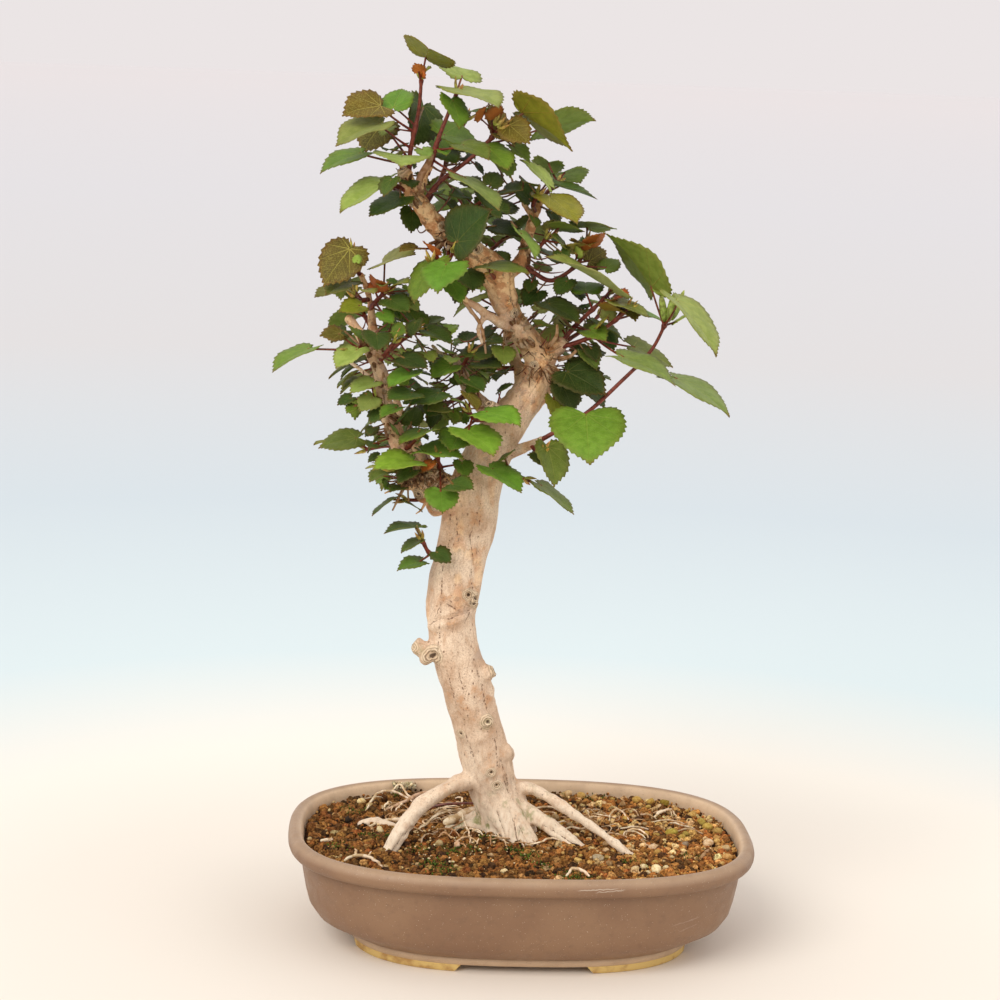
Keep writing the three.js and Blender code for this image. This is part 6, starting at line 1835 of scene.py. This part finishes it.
def make_rootlets():
    draw = draws_from(6113)
    build = Build()
    for radius, tint, points in ROOTLETS:
        ground_tube(build, 1.15 * radius, tint, points, draw)
    for i in range(ROOTLET_TRIES):
        x, y = (middle + 56 * (draw() - 0.5) for middle in ROOTLET_SPOTS[i % 6])
        turn, bend, reach = 6.3 * draw(), 2.4 * (draw() - 0.5), 8 + 16 * draw()
        points = []
        for k in range(4):
            points.append((x, y, (0.2, 1.6 + 1.6 * draw(), 1.2 + 1.6 * draw(), 0.1)[k]))
            x += reach / 3 * math.cos(turn + bend * k)
            y += reach / 3 * math.sin(turn + bend * k)
        if all(inside_soil(*point[:2], 3) for point in points):
            tint = (CREAM, STRAW, TAN)[int(3 * draw())]
            ground_tube(build, 0.32 + 0.3 * draw(), tint, points, draw)
    build.piece("rootlets", [looks["fibre"]], "bark")


def make_stones():
    draw = draws_from(9127)
    build = Build()
    stones = list(STONES)
    for _ in range(RIGHT_PEBBLES):
        x, y = 10 + 114 * draw(), -60 + 150 * draw()
        tint = PEBBLE_TINTS[int(4 * draw())]
        stones.append((x, y, 1.0 + 1.3 * draw() ** 1.5, tint, 1.2))
    for _ in range(LEFT_PEBBLES):
        tint = LEFT_PEBBLE_TINTS[int(2 * draw())]
        stones.append((-124 + 120 * draw(), -80 + 170 * draw(), 0.9 + 0.8 * draw(), tint, 1.2))
    for _ in range(MIDDLE_CRUMBS):
        stones.append((-62 + 76 * draw(), -58 + 66 * draw(), 0.45 + 0.5 * draw() ** 2, WHITE, 1.2))
    for x, y, size, tint, long in stones:
        size *= 0.88
        at = on_soil(x, y, 0.35 * size + 0.4)
        if not inside_soil(x, y, size) or gaps(wood_balls, at).min() < size * 0.6:
            continue
        points, faces = FINE_BALL
        turn = 6.3 * draw()
        c, s = math.cos(turn), math.sin(turn)
        shape = points * (size * math.sqrt(long), size / math.sqrt(long), size * 0.8)
        shape *= (1 + 0.34 * lattice_noise(points + at, 0.8, 83))[:, None]
        shape = shape @ np.array([[c, s, 0], [-s, c, 0], [0, 0, 1]]) + at
        warm = (tint[0], 0.95 * tint[1], 0.84 * tint[2])
        build.add(shape, faces, shade(warm, 0.88 + 0.2 * draw(), 0.04 * (draw() - 0.5)))
    # A heap of lichen at the back, and a few dark crumbs by the far left root
    for i in range(HEAP_CRUMBS):
        at = np.array([-67 + 14 * (draw() - 0.5), 86 + 6 * (draw() - 0.5), 58 + 3.4 * draw()])
        add_grain(build, at, 0.7 + 0.8 * draw(), HEAP_TINTS[i % 2], draw, ROUGH_BALL)
    for _ in range(ROOT_CRUMBS):
        at = np.array([-101 + 3 * draw(), 16 + 4 * draw(), 57.5 + draw()])
        add_grain(build, at, 1.0 + 0.5 * draw(), CRUMB_TINT, draw, FINE_BALL)
    build.piece("stones", [looks["pebbles"]], "soil")


def make_moss():
    draw = draws_from(2719)
    build = Build()
    for x0, y0, reach, count in MOSS:
        for _ in range(count):
            turn, far = 6.3 * draw(), 1.8 * reach * draw()
            x, y = x0 + far * math.cos(turn), y0 + far * math.sin(turn)
            tall = 0.5 + 1.0 * draw()
            lean = np.array([0.8 * (draw() - 0.5), 0.8 * (draw() - 0.5), tall])
            green = shade(MOSS_GREEN, 0.6 + 0.6 * draw(), 0.2 * (draw() - 0.5))
            if inside_soil(x, y, 1):
                at = on_soil(x, y, 0.4)
                path = [(*at, 0.3), (*(at + lean / 2), 0.36), (*(at + lean), 0.12)]
                add_tube(build, path, 4, 3, shade(green, 0.7), green)
    build.piece("moss", [looks["fibre"]], "leaf")


make_rootlets()
make_stones()
make_moss()

# Bare twigs and stubs on the wood: colour and points with their radius
TWIGS = [
    (TAN, [(-69, -11, 272, 1.3), (-74, -14, 263, 1.1), (-77, -16, 257, 0.8), (-80, -16, 250, 0.5)]),
    (TAN, [(-73, -13, 263, 0.9), (-80, -17, 262, 0.7), (-85, -19, 260, 0.4)]),
    (CREAM, [(-90, -9, 323, 1.2), (-97, -9, 326, 1.1), (-103, -8, 330, 1), (-108, -8, 333, 0.8)]),
    (TAN, [(-78, -12, 290, 2.4), (-81, -16, 295, 1.9), (-82, -18, 298, 1.7)]),
    ((188, 150, 112), [(-70, -7, 428, 2.6), (-70, -9, 436, 2.2), (-66, -10, 444, 2), (-64, -10, 450, 1.7)]),
    (TAN, [(-46, -10, 371, 1.7), (-50, -10, 374, 1.2), (-54, -9, 378, 0.7)]),
    (TAN, [(-46, -9, 372, 1.2), (-40, -9, 364, 1.1), (-34, -9, 356, 1), (-31, -8, 344, 0.8),
           (-30, -7, 336, 0.5)]),
    (TAN, [(-62, -15, 254, 0.9), (-64, -18, 251, 0.6), (-67, -20, 249, 0.3)]),
    (TAN, [(-66, -14, 268, 1.4), (-68, -20, 272, 1.2), (-69, -23, 275, 1)]),
    (CREAM, [(-52, 14, 333, 2), (-57, 12, 337, 1.4), (-60, 11, 341, 0.7)]),
    (TAN, [(-88, -11, 312, 1.6), (-93, -14, 314, 1.2), (-96, -15, 317, 0.9)]),
    (TAN, [(-14, 12, 428, 1.1), (-17, 10, 433, 0.8), (-19, 10, 438, 0.4)]),
    (TAN, [(-8, 12, 404, 1.3), (-14, 8, 408, 1), (-18, 7, 413, 0.6)]),
    (TAN, [(12, 4, 336, 1.6), (17, -2, 338, 1.2), (21, -5, 342, 0.9)]),
    (TAN, [(6, 0, 344, 1.4), (9, -7, 350, 1.1), (9, -10, 357, 0.6)]),
]
# Rough spots with short stubs: middle, reach and how many are tried
STUB_SPOTS = [
    ((-62, -8, 262), (14, 12, 12), 90), ((-70, -10, 276), (9, 9, 12), 30),
    ((0, 8, 336), (13, 11, 13), 40), ((-52, -4, 404), (10, 9, 10), 30),
    ((-40, 13, 324), (9, 8, 10), 24), ((-86, -10, 310), (6, 6, 22), 30),
    ((-12, 7, 352), (9, 9, 10), 20), ((-8, 13, 404), (6, 6, 16), 24),
    ((-94, -9, 338), (6, 6, 10), 16), ((-76, -7, 430), (8, 7, 10), 24),
]
# Tangles of fine dead twigs: middle, reach and how many are tried
TANGLES = [
    ((-62, -8, 262), (14, 12, 13), 130), ((-70, -10, 277), (8, 8, 12), 50),
    ((-52, -4, 404), (9, 9, 9), 26), ((0, 8, 336), (12, 10, 12), 40), ((-40, 13, 326), (9, 8, 10), 24),
]
TWIG_TINTS = [(176, 136, 98), (118, 84, 58), (200, 168, 130), (142, 104, 72)]
STUB_TINTS = [(188, 146, 106), (150, 110, 78), (206, 176, 140)]
# Colours of a seed pod at its base and tip, and its section as (share of the way, width)
POD_TINTS = (148, 172, 78), (176, 186, 88)
POD_SECTION = [(0, 0.35), (0.15, 0.8), (0.4, 1.0), (0.7, 0.85), (0.9, 0.45), (1, 0.12)]
# Seed pods at the tip of the long right shoot: base, tip and half width
PODS = [((69, -14, 361), (66, -15, 377), 2.1), ((71, -15, 361), (73, -16, 377), 2.2),
        ((73, -14, 362), (79, -15, 379), 2.1)]


def rough_spots(rows, draw, swing, fall, low, high):
    """Ways out of the wood, and where each of them leaves its skin."""
    for centre, reach, count in rows:
        for _ in range(count):
            way = unit(np.array([draw() - 0.5, swing * draw() - 0.6, draw() - fall]))
            base = centre + way * reach
            if low < gaps(balls, base).min() < high:
                yield way, base


def make_twigs():
    draw = draws_from(7321)
    build = Build()
    for tint, points in TWIGS:
        tint = shade(tint, 0.9 + 0.15 * draw(), 0.03)
        tubed, faces = tube(points, 8, 6 * (len(points) - 1))
        build.add(tubed + 0.25 * lattice_noise(tubed, 2.0, 91)[:, None], faces, tint)
    for way, base in rough_spots(STUB_SPOTS, draw, 0.25, 0.55, -3, 1.5):
        bend = unit(way + 0.5 * np.array([draw() - 0.5, -0.3, draw() - 0.3]))
        tall, thick = 2.5 + 5 * draw(), 0.6 + 0.7 * draw()
        start, end = base - way * 1.5, base + bend * tall
        middle = (base + end) / 2 + 0.4 * way
        tint = STUB_TINTS[int(3 * draw())]
        path = [(*start, thick * 1.3), (*middle, thick), (*end, thick * 0.7)]
        add_tube(build, path, 6, 6, tint, shade(tint, 0.8))
    for way, base in rough_spots(TANGLES, draw, 0.3, 0.5, -3.5, 2.5):
        run = unit(0.6 * way + np.array([draw() - 0.5, 0.4 * draw() - 0.4, draw() - 0.6]))
        at, thick = base - 1.2 * way, 0.26 + 0.3 * draw()
        path = [(*at, thick)]
        for k in range(4):
            run = unit(run + 0.9 * np.array([draw() - 0.5, draw() - 0.5, draw() - 0.5]))
            at = at + run * (1.4 + 1.6 * draw())
            path.append((*at, thick * (0.95 - 0.2 * k)))
        tint = TWIG_TINTS[int(4 * draw())]
        add_tube(build, path, 5, 8, tint, shade(tint, 0.85))
    build.piece("bare_twigs", [looks["fibre"]], "bark")


def make_pods():
    build = Build()
    for base, tip, radius in PODS:
        base, tip = np.array(base, float), np.array(tip, float)
        path = []
        for t, share in POD_SECTION:
            bow = np.array([0, -0.8, 0]) * math.sin(math.pi * t)
            path.append((*(base + (tip - base) * t + bow), radius * share))
        add_tube(build, path, 8, 14, *POD_TINTS)
    build.piece("seed_pods", [looks["shoot"]], "leaf")


make_twigs()
make_pods()

# Camera as in the photograph, worked out round the middle of the pot in millimetres
camera_data = bpy.data.cameras.new("camera")
camera_data.lens, camera_data.sensor_width = 96.12, 36.0
camera_data.clip_start, camera_data.clip_end = 0.05, 200.0
camera = linked("camera", camera_data)
PITCH, YAW, ROLL = 0.176, 0.053, 0.036
camera.location = ((-98.3 + POT_OFFSET) * 0.001, -1.4969, 0.5212)
ahead = Vector((math.sin(YAW) * math.cos(PITCH), math.cos(YAW) * math.cos(PITCH),
                -math.sin(PITCH)))
turned = ahead.to_track_quat("-Z", "Y").to_matrix() @ Matrix.Rotation(ROLL, 3, "Z")
camera.rotation_euler = turned.to_euler()
scene.camera = camera

# Radii of the floor's rings and how far it lies under the pot, in metres
FLOOR_RINGS, FLOOR_SIDES, FLOOR_DROP = (0.5, 2.0, 8.0, 25.0), 96, 0.0002
# Distance from the pot in metres and colour of the floor there
FLOOR_STOPS = [
    (0.0, (258, 246, 230)), (0.28, (259, 252, 239)), (0.42, (262, 258, 246)),
    (0.7, (231, 247, 249)), (1.43, (219, 232, 238)), (2.8, (227, 228, 229)),
    (6.6, (228, 229, 232)), (20.0, (233, 230, 231)),
]
STOP_REACH, STOP_EASE, FLOOR_SHARE = 20.0, 0.4, 0.843
SKY, SUNLIGHT = (235, 229, 229), (1.0, 0.98, 0.95)
# Name, way it shines, strength and angle across in degrees
SUNS = [("key", (0.6, 0.75, -0.8), 1.6, 40), ("fill", (-0.8, 0.5, -0.4), 0.5, 60)]


def make_floor():
    look = Look("floor", 0.9, 0.1)
    away = look.math("DIVIDE", look.length(look.here), STOP_REACH, clamp=True)
    ramp = look.node("ShaderNodeValToRGB")
    look.link(look.math("POWER", away, STOP_EASE), ramp.inputs[0])
    look.link(Value(look, ramp.outputs[0]), look.shader["Base Color"])
    stops = ramp.color_ramp.elements
    while len(stops) < len(FLOOR_STOPS):
        stops.new(0.5)
    for stop, (distance, colour) in zip(stops, FLOOR_STOPS):
        stop.position = (distance / STOP_REACH) ** STOP_EASE
        stop.color = (*(linear(colour) * FLOOR_SHARE), 1.0)
    angles = 2 * np.pi * np.arange(FLOOR_SIDES) / FLOOR_SIDES
    ring = np.stack([np.cos(angles), np.sin(angles), np.zeros(FLOOR_SIDES)], axis=1)
    points = np.concatenate([ring * radius for radius in FLOOR_RINGS] + [np.zeros((1, 3))])
    points[:, 2] = -FLOOR_DROP
    faces = grid_faces(len(FLOOR_RINGS), FLOOR_SIDES)
    faces += [[len(points) - 1, i, (i + 1) % FLOOR_SIDES] for i in range(FLOOR_SIDES)]
    mesh = new_mesh("floor", points, faces)
    dress(mesh, look.material)
    linked("floor", mesh)


def make_light():
    world = bpy.data.worlds.new("studio")
    world.use_nodes = True
    background = world.node_tree.nodes["Background"].inputs
    background["Color"].default_value = (*linear(SKY), 1.0)
    background["Strength"].default_value = 1.0
    scene.world = world
    for name, aim, energy, spread in SUNS:
        data = bpy.data.lights.new(name, "SUN")
        data.energy, data.angle = energy, math.radians(spread)
        data.color = SUNLIGHT
        light = linked(name, data)
        light.rotation_euler = Vector(aim).to_track_quat("-Z", "Y").to_euler()
        light.location = (-1, -1, 2)


make_floor()
make_light()
scene.view_settings.view_transform = "Standard"

bpy.context.view_layer.update()
